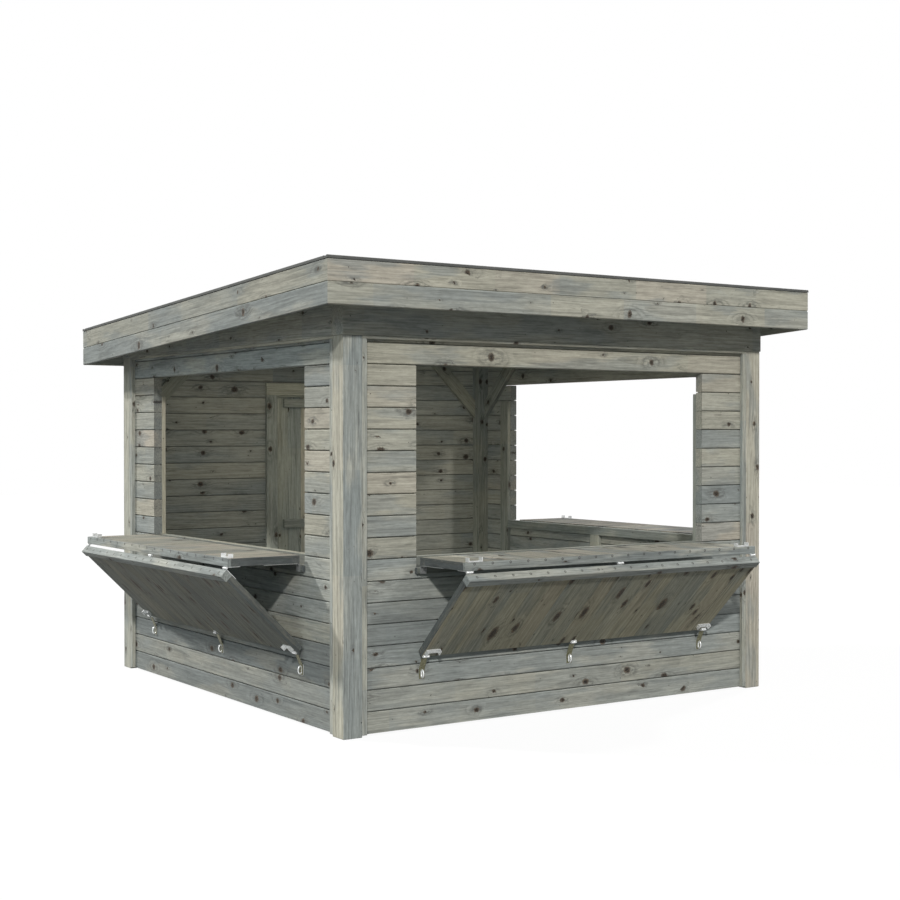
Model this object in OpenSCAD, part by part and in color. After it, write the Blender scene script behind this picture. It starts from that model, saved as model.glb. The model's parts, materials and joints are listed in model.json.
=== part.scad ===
// Wooden market stall with three fold-down serving hatches and a door at the back.
// Front is -Y. Heights start at the ground, and plan sizes at the stall's plan centre.

/* [Stall] */
// Width over the corner posts, along X
stall_w = 3000; // [2600:10:3600]
// Depth over the corner posts, along Y
stall_d = 3000; // [2600:10:3600]
// Side of a square corner post
post = 115; // [110:1:140]
// Height of the underside of the ring beams
clear_h = 2100; // [2080:5:2300]
// How far the beams stand out past the posts
beam_proud = 5; // [0:1:15]

/* [Walls] */
// Thickness of the wall planks
plank_t = 55; // [45:1:60]
// How far the planks lie behind the post faces
recess = 25; // [15:1:30]
// Gap between the planks and the ground
wall_gap = 10; // [5:1:30]
// Width of the trims beside the posts
trim_w = 30; // [20:1:45]
// Height of the trim under the beams
head_trim = 15; // [10:1:30]
// Thickness of the studs inside the walls
stud_t = 28; // [20:1:32]
// Width of the studs
stud_w = 95; // [60:1:120]
// Clearance between the studs and the knee braces
stud_gap = 84; // [20:1:300]
// Thickness of a knee brace
brace_t = 34; // [25:1:34]
// Width of a knee brace
brace_w = 95; // [60:1:110]
// Reach of a knee brace along the beam and down the post
brace_leg = 440; // [300:5:480]

/* [Hatches] */
// Width of a hatch opening
hatch_w = 2072; // [1600:2:2100]
// Height of the lintels over the hatches
lintel_h = 145; // [140:1:160]
// Height of the hinge line along the sill
sill_axis_z = 878; // [850:1:900]
// Distance of the sill hinge line from the planks
sill_out = 28; // [28:1:40]
// Clearance round the leaves
leaf_gap = 6; // [5:0.5:8]
// Reach of an open counter from the post faces
counter_reach = 432; // [380:1:460]
// Thickness of a counter
counter_t = 44; // [36:1:46]
// Thickness of a flap at its fold rail
flap_t = 50; // [40:1:50]
// Clearance between an open flap's free edge and the planks
flap_rest = 8.4; // [6:0.1:40]
// Thickness of the board layer of a leaf
leaf_board_t = 15; // [10:1:20]
// Width of the battens under a leaf
batten_w = 45; // [30:1:60]
// How far the fold rail stands out past the flap boards
rail_proud = 8; // [4:1:12]
// How far the sill rail stands up past the counter
rail_rise = 0; // [0:1:30]
// Height of the ledger under a counter
hatch_ledger_h = 33; // [25:1:60]
// How far the ledger runs past the sides of the opening
ledger_lap = 40; // [10:1:60]

/* [Hatch fittings] */
// Radius of a hinge knuckle
knuckle_r = 6; // [5:0.5:7]
// Thickness of the hinge plates
plate_t = 3; // [2:0.5:4]
// Width of a hinge
hinge_w = 40; // [30:1:90]
// Length of a hinge plate
hinge_l = 80; // [50:1:100]
// Length of a sill hinge's strap under the counter
sill_strap_l = 210; // [80:1:300]
// Distance of the outer hinges from the end of a leaf
hinge_inset = 5; // [5:1:200]
// Width of a locking bar bracket
bracket_w = 88; // [60:1:120]
// Depth of a locking bar bracket
bracket_d = 30; // [20:1:45]
// Height of a locking bar bracket's ears
bracket_h = 22; // [16:1:40]
// Thickness of a locking bar bracket
bracket_t = 4; // [3:0.5:6]
// Distance of a counter's brackets from its corner
bracket_inset = 35; // [25:1:150]
// Distance of a flap's brackets from its sides
flap_bracket_side = 8; // [5:1:150]
// Distance of a flap's brackets from its free edge
flap_bracket_edge = 44; // [40:1:150]
// Distance of the outer latches from the end of a leaf
latch_inset = 25; // [20:1:200]
// Distance of the staples below an open flap's free edge
latch_drop = 96; // [90:1:200]
// Width of a latch's wall plate
latch_plate_w = 34; // [28:1:50]
// Height of a latch's wall plate
latch_plate_h = 60; // [50:1:90]
// Width of a hasp
hasp_w = 36; // [20:1:40]
// How far a hasp reaches above its staple
hasp_up = 86; // [40:1:86]
// How far the top of a hasp stands out from the planks
hasp_out = 30; // [6:1:34]
// Radius of a staple
staple_r = 16; // [12:1:20]

/* [Door] */
// Width of the door leaf
door_w = 750; // [650:5:850]
// Height of the planks over the door head
door_lintel_h = 213; // [150:1:400]
// Thickness of the door boards
door_t = 22; // [18:1:26]
// Height of a door ledger
ledger_h = 62; // [50:1:120]
// Thickness of a door ledger
ledger_t = 25; // [18:1:26]
// Width of the casing round the door
casing_w = 85; // [60:1:110]
// Thickness of the jambs and the casing
jamb_t = 25; // [20:1:35]
// Clearance round the door leaf
door_gap = 6; // [5:0.5:10]
// Height of the door leaf above the ground
door_sill = 20; // [15:1:60]
// How far the door stops stand into the doorway
door_stop = 12; // [8:1:20]
// Distance of the ledgers from the sides of the door
ledger_inset = 65; // [40:1:120]
// Length of a strap hinge
strap_l = 420; // [250:5:550]
// Height of a strap hinge at the door's edge
strap_h = 36; // [25:1:50]
// Height of the pull handle's middle
handle_z = 1020; // [900:5:1150]
// Length of the pull handle's grip
grip_l = 140; // [100:1:180]
// Radius of the pull handle's grip
grip_r = 8; // [6:0.5:12]

/* [Roof] */
// Overhang of the roof past the posts
overhang = 207; // [120:1:320]
// Fall of the roof towards the back, in degrees
roof_pitch = 3; // [1:0.5:3]
// Rise of the front fascia's top above the underside of the beams
roof_rise = 365; // [365:5:600]
// Height of one fascia board
fascia_board = 115; // [95:1:120]
// Thickness of the fascia
fascia_t = 20; // [15:1:30]
// Thickness of the roof boards
deck_t = 20; // [15:1:30]
// Height of a rafter
rafter_h = 95; // [80:1:100]
// Width of a rafter
rafter_w = 45; // [35:1:60]
// Number of rafters between the side beams
rafter_count = 3; // [1:1:6]
// Thickness of the roof felt
felt_t = 4; // [2:1:8]
// Height of the metal edge trim
edge_h = 16; // [10:1:30]
// Width of the metal edge trim over the roof
edge_w = 40; // [30:1:80]
// How far the edge trim stands out past the fascia
edge_proud = 3; // [2:1:6]

/* [Hidden] */

$fn = 32;
wood = "#8f8d80";
wood_dark = "#6f7069";
zinc = "#e4e6e4";
felt = "#4a4d50";

WALLS = ["front", "right", "back", "left"];
HATCH_WALLS = ["front", "right", "left"];

half_w = stall_w / 2;
half_d = stall_d / 2;
plank_in = recess + plank_t;
head_z = clear_h - lintel_h;

// Clearances at the hinges and between the layers of the roof
seat = 0.4;
plate_gap = 1;
lay = 0.1;
leaf_off = knuckle_r + seat;

// Sill and fold hinges, measured inwards from the post face
sill_axis_y = recess - sill_out;
fold_gap = leaf_gap / 2;
fold_axis_y = -counter_reach - fold_gap;
sill_z = sill_axis_z - leaf_gap;
counter_under = sill_axis_z + leaf_off;
counter_top = counter_under + counter_t;
leaf_w = hatch_w - 2 * leaf_gap;
ledger_out = sill_axis_y + leaf_off;
ledger_top = sill_axis_z - knuckle_r - plate_gap;
rail_out = ledger_out + max(counter_t, flap_t) + leaf_gap;
rail_top = counter_top + rail_rise;
hinge_x = leaf_w / 2 - hinge_inset - hinge_w / 2;
HINGE_XS = [-hinge_x, 0, hinge_x];
knuckle_l = hinge_w / 3;
tab = knuckle_l - seat;
neck = knuckle_r + plate_gap;
counter_bracket_x = leaf_w / 2 - bracket_inset - bracket_w / 2;
flap_bracket_x = leaf_w / 2 - flap_bracket_side - bracket_w / 2;

// An open flap leans back until its free edge is near the planks, or lies level if it is too short
flap_end = head_z - leaf_gap - sill_axis_z - (sill_axis_y - fold_axis_y);
flap_outer = leaf_off + flap_t;
flap_face = flap_outer - rail_proud;
flap_reach = recess - fold_axis_y - flap_rest;
flap_lean = acos(min(1, flap_reach / norm([flap_end, leaf_off]))) - atan2(leaf_off, flap_end);
flap_low = sill_axis_z - flap_end * sin(flap_lean) - flap_face * cos(flap_lean);
staple_z = flap_low - latch_drop;
latch_x = leaf_w / 2 - latch_inset;
LATCH_XS = [-latch_x, 0, latch_x];

// Doorway in the back wall
doorway_w = door_w + 2 * door_gap;
jamb_out = doorway_w / 2 + jamb_t;
jamb_top = clear_h - door_lintel_h;
door_head_z = jamb_top - jamb_t;
door_top = door_head_z - door_gap;
door_axis_x = leaf_off - doorway_w / 2;
door_axis_y = recess - leaf_off;
stop_y = recess + door_t + door_gap;
ledger_end = ledger_h / 2 + door_gap + door_stop;
DOOR_HINGE_ZS = [door_sill + ledger_end, door_top - ledger_end];
DOOR_LEDGER_ZS = concat(DOOR_HINGE_ZS, [(door_sill + door_top) / 2]);

// The roof plane is the top of the roof boards
roof_top = clear_h + roof_rise;
roof_fall = tan(roof_pitch);
eave_x = half_w + overhang;
eave_y = half_d + overhang;
rafter_under = -deck_t - rafter_h;
fascia_h = 2 * fascia_board;

// The plan centre is moved so that the whole object is centred over the origin
front_reach = half_d - fold_axis_y - fold_gap * cos(flap_lean) + flap_outer * sin(flap_lean);
back_reach = eave_y + edge_proud;
plan_y = (front_reach - back_reach) / 2;

function roof_z(y) = roof_top - (y + eave_y) * roof_fall;
function is_side(wall) = wall == "left" || wall == "right";
function wall_clear(wall) = (is_side(wall) ? stall_d : stall_w) - 2 * post;
function wall_face(wall) = is_side(wall) ? half_w : half_d;
function wall_turn(wall) =
    wall == "right" ? 90 :
    wall == "back" ? 180 :
    wall == "left" ? 270 : 0;

// Box from its low corner to its high corner
module block(low, high) {
    translate(low) cube(high - low);
}

module stall() {
    translate([0, plan_y, 0]) children();
}

// In a wall's frame X runs along the wall and Y runs inwards from the post faces
module at_wall(wall) {
    stall() rotate(wall_turn(wall)) translate([0, -wall_face(wall), 0]) children();
}

module both_ends() {
    children();
    mirror([1, 0, 0]) children();
}

// Slab that follows the roof's fall, between two depths below or above the roof plane
module roof_slab(x0, x1, y0, y1, low, high) {
    stall() translate([x0, 0, 0]) rotate([90, 0, 90]) linear_extrude(x1 - x0)
        polygon([
            [y0, roof_z(y0) + low], [y1, roof_z(y1) + low],
            [y1, roof_z(y1) + high], [y0, roof_z(y0) + high],
        ]);
}

// Beam with a level underside and a top that follows the roof
module ring_beam(x0, x1, y0, y1) {
    color(wood) stall() translate([x0, 0, 0]) rotate([90, 0, 90]) linear_extrude(x1 - x0)
        polygon([
            [y0, clear_h], [y1, clear_h],
            [y1, roof_z(y1) + rafter_under - lay], [y0, roof_z(y0) + rafter_under - lay],
        ]);
}

module corner_post(side, end) {
    color(wood) stall()
        translate([side * (half_w - post / 2), end * (half_d - post / 2), clear_h / 2])
            cube([post, post, clear_h], center = true);
}

module post_front_left() { corner_post(-1, -1); }
module post_front_right() { corner_post(1, -1); }
module post_back_left() { corner_post(-1, 1); }
module post_back_right() { corner_post(1, 1); }

module front_beam() {
    ring_beam(-half_w - beam_proud, half_w + beam_proud, -half_d - beam_proud, -half_d + post);
}

module back_beam() {
    ring_beam(-half_w - beam_proud, half_w + beam_proud, half_d - post, half_d + beam_proud);
}

module left_beam() {
    ring_beam(-half_w - beam_proud, -half_w + post, -half_d + post, half_d - post);
}

module right_beam() {
    ring_beam(half_w - post, half_w + beam_proud, -half_d + post, half_d - post);
}

// Knee brace at 45 degrees, from the corner of a post and a beam
module knee_braces() {
    inner_leg = brace_leg - brace_w * sqrt(2);
    color(wood_dark) for (wall = WALLS) at_wall(wall) both_ends()
        translate([wall_clear(wall) / 2, plank_in + brace_t, clear_h]) rotate([90, 0, 0])
            linear_extrude(brace_t)
                polygon([[0, -brace_leg], [0, -inner_leg], [-inner_leg, 0], [-brace_leg, 0]]);
}

// Planked panel between two heights in a wall's frame
module planks(x0, x1, z0, z1) {
    color(wood) block([x0, recess, z0], [x1, plank_in, z1]);
}

module lower_wall(wall) {
    span = wall_clear(wall) / 2;
    at_wall(wall) planks(-span, span, wall_gap, sill_z);
}

module front_wall() { lower_wall("front"); }
module left_wall() { lower_wall("left"); }
module right_wall() { lower_wall("right"); }

module wall_piers() {
    for (wall = HATCH_WALLS) at_wall(wall) both_ends()
        planks(hatch_w / 2, wall_clear(wall) / 2, sill_z, head_z);
}

module hatch_lintels() {
    for (wall = HATCH_WALLS) at_wall(wall)
        planks(-wall_clear(wall) / 2, wall_clear(wall) / 2, head_z, clear_h);
}

module back_wall() {
    at_wall("back") both_ends() planks(jamb_out, wall_clear("back") / 2, wall_gap, clear_h);
}

module door_lintel() {
    at_wall("back") planks(-jamb_out, jamb_out, jamb_top, clear_h);
}

// Studs beside each hatch, which end below the knee braces, and one under its middle
module wall_studs() {
    color(wood_dark) for (wall = HATCH_WALLS) at_wall(wall) {
        stud_x = hatch_w / 2 + stud_w;
        stud_top = clear_h - brace_leg + wall_clear(wall) / 2 - stud_x - stud_gap;
        both_ends() block([hatch_w / 2, plank_in, wall_gap], [stud_x, plank_in + stud_t, stud_top]);
        block([-stud_w / 2, plank_in, wall_gap], [stud_w / 2, plank_in + stud_t, sill_z]);
    }
}

module sill_rails() {
    color(wood_dark) for (wall = HATCH_WALLS) at_wall(wall)
        block([-hatch_w / 2, rail_out, sill_z], [hatch_w / 2, plank_in + stud_t, rail_top]);
}

module hatch_ledgers() {
    span = hatch_w / 2 + ledger_lap;
    color(wood_dark) for (wall = HATCH_WALLS) at_wall(wall)
        block([-span, ledger_out, ledger_top - hatch_ledger_h], [span, recess, ledger_top]);
}

module corner_trims() {
    color(wood) for (wall = WALLS) at_wall(wall) both_ends()
        translate([wall_clear(wall) / 2 - trim_w, 0, wall_gap])
            cube([trim_w, recess, clear_h - head_trim - wall_gap]);
}

module head_trims() {
    color(wood) for (wall = WALLS) at_wall(wall)
        block([-wall_clear(wall) / 2, 0, clear_h - head_trim], [wall_clear(wall) / 2, recess, clear_h]);
}

module roof_rafters() {
    inner_y = eave_y - fascia_t;
    barge_x = eave_x - fascia_t - rafter_w;
    side_x = half_w - rafter_w;
    step = 2 * side_x / (rafter_count + 1);
    mid_xs = [for (i = [0:rafter_count + 1]) -side_x + i * step - rafter_w / 2];
    xs = concat([-barge_x - rafter_w, barge_x], mid_xs);
    color(wood_dark) for (x = xs)
        roof_slab(x, x + rafter_w, -inner_y, inner_y, rafter_under, -deck_t - lay);
}

module roof_deck() {
    inner_x = eave_x - fascia_t;
    inner_y = eave_y - fascia_t;
    color(wood_dark) roof_slab(-inner_x, inner_x, -inner_y, inner_y, -deck_t, 0);
}

module roof_felt() {
    inner_x = eave_x - edge_w + edge_proud;
    inner_y = eave_y - edge_w + edge_proud;
    color(felt) roof_slab(-inner_x, inner_x, -inner_y, inner_y, lay, felt_t);
}

module front_fascia() {
    color(wood) roof_slab(-eave_x, eave_x, -eave_y, -eave_y + fascia_t, -fascia_h, 0);
}

module back_fascia() {
    color(wood) roof_slab(-eave_x, eave_x, eave_y - fascia_t, eave_y, -fascia_h, 0);
}

module side_fascias() {
    inner_y = eave_y - fascia_t;
    color(wood) both_ends() roof_slab(eave_x - fascia_t, eave_x, -inner_y, inner_y, -fascia_h, 0);
}

module eaves_trims() {
    outer_x = eave_x + edge_proud;
    outer_y = eave_y + edge_proud;
    color(felt) {
        roof_slab(-outer_x, outer_x, -outer_y, -outer_y + edge_w, lay, edge_h);
        roof_slab(-outer_x, outer_x, outer_y - edge_w, outer_y, lay, edge_h);
    }
}

module verge_trims() {
    outer_x = eave_x + edge_proud;
    inner_y = eave_y + edge_proud - edge_w;
    color(felt) both_ends() roof_slab(outer_x - edge_w, outer_x, -inner_y, inner_y, lay, edge_h);
}

// Jambs and head have a stop behind the leaf
module door_jambs() {
    color(wood_dark) at_wall("back") both_ends() {
        block([doorway_w / 2, 0, wall_gap], [jamb_out, plank_in, jamb_top]);
        block([doorway_w / 2 - door_stop, stop_y, wall_gap], [jamb_out, plank_in, door_head_z - door_stop]);
    }
}

module door_head() {
    color(wood_dark) at_wall("back") {
        block([-doorway_w / 2, 0, door_head_z], [doorway_w / 2, plank_in, jamb_top]);
        block([-doorway_w / 2, stop_y, door_head_z - door_stop], [doorway_w / 2, plank_in, jamb_top]);
    }
}

// Casing boards on the inner face of the wall round the doorway
module door_casings() {
    outer = doorway_w / 2 + casing_w;
    color(wood_dark) at_wall("back") difference() {
        block([-outer, plank_in, wall_gap], [outer, plank_in + jamb_t, door_head_z + casing_w]);
        block([-doorway_w / 2, plank_in - 1, -1], [doorway_w / 2, plank_in + jamb_t + 1, door_head_z]);
    }
}

module door_leaf() {
    color(wood_dark) at_wall("back")
        block([-door_w / 2, recess, door_sill], [door_w / 2, recess + door_t, door_top]);
}

module door_ledgers() {
    color(wood_dark) at_wall("back") for (z = DOOR_LEDGER_ZS)
        block(
            [-door_w / 2 + ledger_inset, recess + door_t, z - ledger_h / 2],
            [door_w / 2 - ledger_inset, recess + door_t + ledger_t, z + ledger_h / 2]
        );
}

// One of the three knuckles of a hinge whose axis runs in X
module knuckle(place) {
    translate([place * knuckle_l, 0, 0]) rotate([0, 90, 0])
        cylinder(r = knuckle_r, h = tab, center = true);
}

// Plate with its own knuckles, on the side of the axis that Y points to
module hinge_half(places, reach) {
    for (place = places) {
        knuckle(place);
        translate([place * knuckle_l - tab / 2, 0, leaf_off - plate_t]) cube([tab, neck, plate_t]);
    }
    block([-hinge_w / 2, neck, leaf_off - plate_t], [hinge_w / 2, reach, leaf_off]);
}

// Upright hinge axis of the door, with its knuckles along Z
module at_door_hinge(z) {
    at_wall("back") translate([door_axis_x, door_axis_y, z]) rotate([0, -90, 0]) children();
}

module door_hinges() {
    color(zinc) for (z = DOOR_HINGE_ZS) at_door_hinge(z)
        for (place = [-1, 1]) {
            knuckle(place);
            block(
                [place * knuckle_l - tab / 2, plate_gap - door_axis_y, leaf_off - plate_t],
                [place * knuckle_l + tab / 2, 0, leaf_off]
            );
        }
}

// Tapered straps across the outer face of the door
module door_straps() {
    root = strap_h / 2;
    tip = strap_h / 4;
    color(zinc) for (z = DOOR_HINGE_ZS) {
        at_door_hinge(z) knuckle(0);
        at_wall("back") translate([door_axis_x, recess, z]) rotate([90, 0, 0]) linear_extrude(plate_t) {
            translate([0, -tab / 2]) square([neck, tab]);
            polygon([[neck, -root], [strap_l, -tip], [strap_l, tip], [neck, root]]);
            translate([strap_l, 0]) circle(r = tip);
        }
    }
}

// Pull handle on a plate near the free edge of the door
module door_handle() {
    plate_w = 5.5 * grip_r;
    stand = 45;
    post_r = 0.75 * grip_r;
    handle_x = door_w / 2 - ledger_inset - plate_t;
    color(zinc) at_wall("back") translate([handle_x, recess, handle_z]) {
        translate([0, -plate_t / 2, 0]) cube([plate_w, plate_t, grip_l + plate_w], center = true);
        translate([0, -stand, 0]) cylinder(r = grip_r, h = grip_l, center = true);
        for (end = [-1, 1]) translate([0, 0, end * (grip_l / 2 - grip_r)]) rotate([90, 0, 0])
            cylinder(r = post_r, h = stand);
    }
}

module hatch_hinges() {
    color(zinc) for (wall = HATCH_WALLS) at_wall(wall) for (x = HINGE_XS) {
        translate([x, sill_axis_y, sill_axis_z]) for (place = [-1, 1]) {
            knuckle(place);
            block(
                [place * knuckle_l - tab / 2, leaf_off - plate_t, ledger_top - sill_axis_z],
                [place * knuckle_l + tab / 2, leaf_off, 0]
            );
        }
        block(
            [x - hinge_w / 2, ledger_out - plate_t, ledger_top - hatch_ledger_h],
            [x + hinge_w / 2, ledger_out, ledger_top]
        );
    }
}

// Staple on a wall plate, with the slotted hasp over it bent out to the flap's edge
module hatch_latches() {
    wire_r = staple_r / 4;
    slot_w = 3 * wire_r;
    slot_end = staple_r + wire_r;
    hasp_down = slot_end + 2 * wire_r;
    bend = slot_end + plate_t;
    color(zinc) for (wall = HATCH_WALLS) at_wall(wall) for (x = LATCH_XS)
        translate([x, recess, staple_z]) {
            translate([0, -plate_t / 2, 0]) cube([latch_plate_w, plate_t, latch_plate_h], center = true);
            difference() {
                translate([-hasp_w / 2, 0, 0]) rotate([90, 0, 90]) linear_extrude(hasp_w) polygon([
                    [-plate_t, -hasp_down], [-plate_t, bend], [-hasp_out, hasp_up],
                    [-hasp_out - plate_t, hasp_up], [-2 * plate_t, bend], [-2 * plate_t, -hasp_down],
                ]);
                block([-slot_w / 2, -3 * plate_t, -slot_end], [slot_w / 2, -plate_t, slot_end]);
            }
            translate([0, -plate_t, 0]) rotate([180, 90, 0])
                rotate_extrude(angle = 180) translate([staple_r, 0]) circle(r = wire_r);
        }
}

// Panel of boards on battens: X along the hatch, Y across it, boards on top
module battened_leaf(y0, y1, t, boards) {
    bays = 4;
    bay_w = (leaf_w - (bays + 1) * batten_w) / bays;
    difference() {
        block([-leaf_w / 2, y0, 0], [leaf_w / 2, y1, t]);
        for (i = [0:bays - 1]) translate([-leaf_w / 2 + batten_w + i * (bay_w + batten_w), 0, 0])
            block([0, y0 + batten_w, -1], [bay_w, y1 - batten_w, t - boards]);
    }
}

module counter(wall) {
    color(wood) at_wall(wall) translate([0, 0, counter_under])
        battened_leaf(-counter_reach, sill_axis_y, counter_t, leaf_board_t);
}

// U-shaped bracket for the locking bar, on a face that looks along Z
module bar_bracket() {
    block([-bracket_w / 2, -bracket_d / 2, 0], [bracket_w / 2, bracket_d / 2, bracket_t]);
    for (end = [-1, 1]) translate([end * (bracket_w - bracket_t) / 2, 0, bracket_h / 2])
        cube([bracket_t, bracket_d, bracket_h], center = true);
}

module counter_fittings(wall) {
    color(zinc) at_wall(wall) {
        for (x = HINGE_XS) {
            translate([x, sill_axis_y, sill_axis_z]) mirror([0, 1, 0]) hinge_half([0], sill_strap_l);
            translate([x, fold_axis_y, sill_axis_z]) hinge_half([-1, 1], hinge_l);
        }
        both_ends() translate([counter_bracket_x, bracket_inset - counter_reach, counter_top]) bar_bracket();
    }
}

// Flap frame: Y runs from the fold to the free edge, Z out of the visible face
module at_flap(wall) {
    at_wall(wall) translate([0, fold_axis_y, sill_axis_z])
        rotate([180 - flap_lean, 0, 0]) mirror([0, 1, 0]) children();
}

module flap(wall) {
    color(wood) at_flap(wall) {
        translate([0, 0, leaf_off])
            battened_leaf(fold_gap, flap_end, flap_face - leaf_off, leaf_board_t);
        block([-leaf_w / 2, fold_gap, leaf_off], [leaf_w / 2, fold_gap + batten_w, flap_outer]);
    }
}

module flap_fittings(wall) {
    eye_l = 3 * knuckle_r;
    color(zinc) at_flap(wall) {
        for (x = HINGE_XS) translate([x, 0, 0]) hinge_half([0], hinge_l);
        both_ends() translate([flap_bracket_x, flap_end - flap_bracket_edge, flap_face]) bar_bracket();
        for (x = LATCH_XS) translate([x, flap_end, flap_face]) {
            block([-hasp_w / 2, -eye_l, 0], [hasp_w / 2, 0, plate_t]);
            translate([0, -neck, neck]) rotate([0, 90, 0])
                cylinder(r = knuckle_r, h = hasp_w, center = true);
        }
    }
}

module front_counter() { counter("front"); }
module front_counter_fittings() { counter_fittings("front"); }
module front_flap() { flap("front"); }
module front_flap_fittings() { flap_fittings("front"); }
module left_counter() { counter("left"); }
module left_counter_fittings() { counter_fittings("left"); }
module left_flap() { flap("left"); }
module left_flap_fittings() { flap_fittings("left"); }
module right_counter() { counter("right"); }
module right_counter_fittings() { counter_fittings("right"); }
module right_flap() { flap("right"); }
module right_flap_fittings() { flap_fittings("right"); }

post_front_left();
post_front_right();
post_back_left();
post_back_right();
front_beam();
back_beam();
left_beam();
right_beam();
knee_braces();
front_wall();
left_wall();
right_wall();
wall_piers();
hatch_lintels();
back_wall();
door_lintel();
wall_studs();
sill_rails();
hatch_ledgers();
corner_trims();
head_trims();
roof_rafters();
roof_deck();
roof_felt();
front_fascia();
back_fascia();
side_fascias();
eaves_trims();
verge_trims();
door_jambs();
door_head();
door_casings();
door_hinges();
door_leaf();
door_ledgers();
door_straps();
door_handle();
hatch_hinges();
hatch_latches();
front_counter();
front_counter_fittings();
front_flap();
front_flap_fittings();
left_counter();
left_counter_fittings();
left_flap();
left_flap_fittings();
right_counter();
right_counter_fittings();
right_flap();
right_flap_fittings();
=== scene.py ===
import json
import math
import random

import bpy
from mathutils import Matrix, Vector


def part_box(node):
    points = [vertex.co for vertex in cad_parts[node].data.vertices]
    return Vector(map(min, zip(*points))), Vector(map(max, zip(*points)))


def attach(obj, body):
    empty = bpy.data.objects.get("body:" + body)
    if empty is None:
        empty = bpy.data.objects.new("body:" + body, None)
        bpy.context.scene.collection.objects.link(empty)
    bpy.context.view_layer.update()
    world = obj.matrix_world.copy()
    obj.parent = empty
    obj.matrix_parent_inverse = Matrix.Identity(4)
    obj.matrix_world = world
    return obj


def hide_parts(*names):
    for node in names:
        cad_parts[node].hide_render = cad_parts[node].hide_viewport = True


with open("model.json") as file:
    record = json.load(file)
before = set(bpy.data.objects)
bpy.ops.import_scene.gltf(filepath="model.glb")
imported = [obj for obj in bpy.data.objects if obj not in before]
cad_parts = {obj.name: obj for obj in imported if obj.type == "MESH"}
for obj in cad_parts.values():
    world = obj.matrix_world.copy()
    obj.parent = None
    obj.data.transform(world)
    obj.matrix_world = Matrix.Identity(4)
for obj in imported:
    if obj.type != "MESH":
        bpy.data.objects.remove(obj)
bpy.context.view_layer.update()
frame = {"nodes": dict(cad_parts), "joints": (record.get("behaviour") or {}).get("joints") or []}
dice = random.Random(11)
print("stall: frame loaded,", len(frame["nodes"]), "nodes")

# sizes read from the frame, in metres
postLow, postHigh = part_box("post_front_left")
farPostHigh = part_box("post_back_right")[1]
planCentre = Vector((0, (postLow.y + farPostHigh.y) / 2, 0))
stallHalf = {"x": -postLow.x, "y": (farPostHigh.y - postLow.y) / 2}
postSide = postHigh.x - postLow.x
beamUnder = postHigh.z
wallLow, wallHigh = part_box("front_wall")
plankOut = wallLow.y - postLow.y
plankIn = wallHigh.y - postLow.y
wallFoot, sillTop = wallLow.z, wallHigh.z
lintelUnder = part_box("hatch_lintels")[0].z
counterLow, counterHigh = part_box("front_counter")
leafHalf = counterHigh.x
jointAt = {j["name"]: Vector(j["pos_m"]) for j in frame["joints"]}
sillAxis = jointAt["front_counter_lift"]
foldAxis = jointAt["front_flap_fold"]
foldY = foldAxis.y - postLow.y
flapLean = math.radians(180 - next(
    j["range_deg"][1] for j in frame["joints"] if j["name"] == "front_flap_fold"))
clearHalf = stallHalf["x"] - postSide
leafGap = 0.006  # clearance round a leaf
close = 0.01  # places nearer than this count as one
longEdge = 0.1  # only the edges along a board are longer
facing = 0.9  # slope of a face that looks up
roundFrom = 0.0025  # wider arrises get two segments
hatchWalls = ("front", "right", "left")
wallTurn = {"front": 0, "right": 90, "back": 180, "left": 270}


# working helpers
def deselectAll():
    if bpy.context.mode != "OBJECT":
        bpy.ops.object.mode_set(mode="OBJECT")
    bpy.ops.object.select_all(action="DESELECT")


def makeActive(obj):
    deselectAll()
    obj.select_set(True)
    bpy.context.view_layer.objects.active = obj


def added(operator, **values):
    # the object that an operator adds
    deselectAll()
    operator(**values)
    return bpy.context.object


def strips(low, high, count):
    # even parts of a width, as pairs of edges
    width = (high - low) / count
    return [(low + k * width, low + (k + 1) * width) for k in range(count)]


def turnOf(wall):
    return Matrix.Rotation(math.radians(wallTurn[wall]), 4, "Z")


def wallFrame(wall):
    # X along the wall, Y inwards from the post faces, Z up
    face = stallHalf["y" if wall in ("front", "back") else "x"]
    return Matrix.Translation(planCentre) @ turnOf(wall) @ Matrix.Translation((0, -face, 0))


def flapFrame(wall):
    # Y from the fold to the free edge, Z out of the visible face
    along = Vector((0, math.cos(flapLean), -math.sin(flapLean)))
    out = Vector((0, -math.sin(flapLean), -math.cos(flapLean)))
    axes = Matrix((along.cross(out), along, out)).transposed().to_4x4()
    return wallFrame(wall) @ Matrix.Translation((0, foldY, foldAxis.z)) @ axes


def bevelEdges(obj, chosen, width, segments=1):
    makeActive(obj)
    mesh = obj.data
    bpy.context.tool_settings.mesh_select_mode = (False, True, False)
    for part in (mesh.vertices, mesh.polygons):
        part.foreach_set("select", [False] * len(part))
    spots = [v.co.copy() for v in mesh.vertices]
    for edge in mesh.edges:
        edge.select = chosen(spots[edge.vertices[0]], spots[edge.vertices[1]])
    bpy.ops.object.mode_set(mode="EDIT")
    bpy.ops.mesh.bevel(offset=width, segments=segments, affect="EDGES", clamp_overlap=True)
    bpy.ops.object.mode_set(mode="OBJECT")


def anyEdge(a, b):
    return True


def selectFaces(obj, chosen):
    # leaves the object in edit mode with the chosen faces selected
    makeActive(obj)
    bpy.context.tool_settings.mesh_select_mode = (False, False, True)
    for part in (obj.data.vertices, obj.data.edges):
        part.foreach_set("select", [False] * len(part))
    for face in obj.data.polygons:
        face.select = chosen(face)
    bpy.ops.object.mode_set(mode="EDIT")


# grain of a board: slopes that make a face an end or a side, step between sides, place of the heart
grainRule = {"endSlope": 0.3, "sideSlope": 0.72, "sideStep": 7.3, "spread": 30,
             "heartAside": 0.045, "heartDeep": (0.03, 0.13), "heartLean": 0.035}


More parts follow.
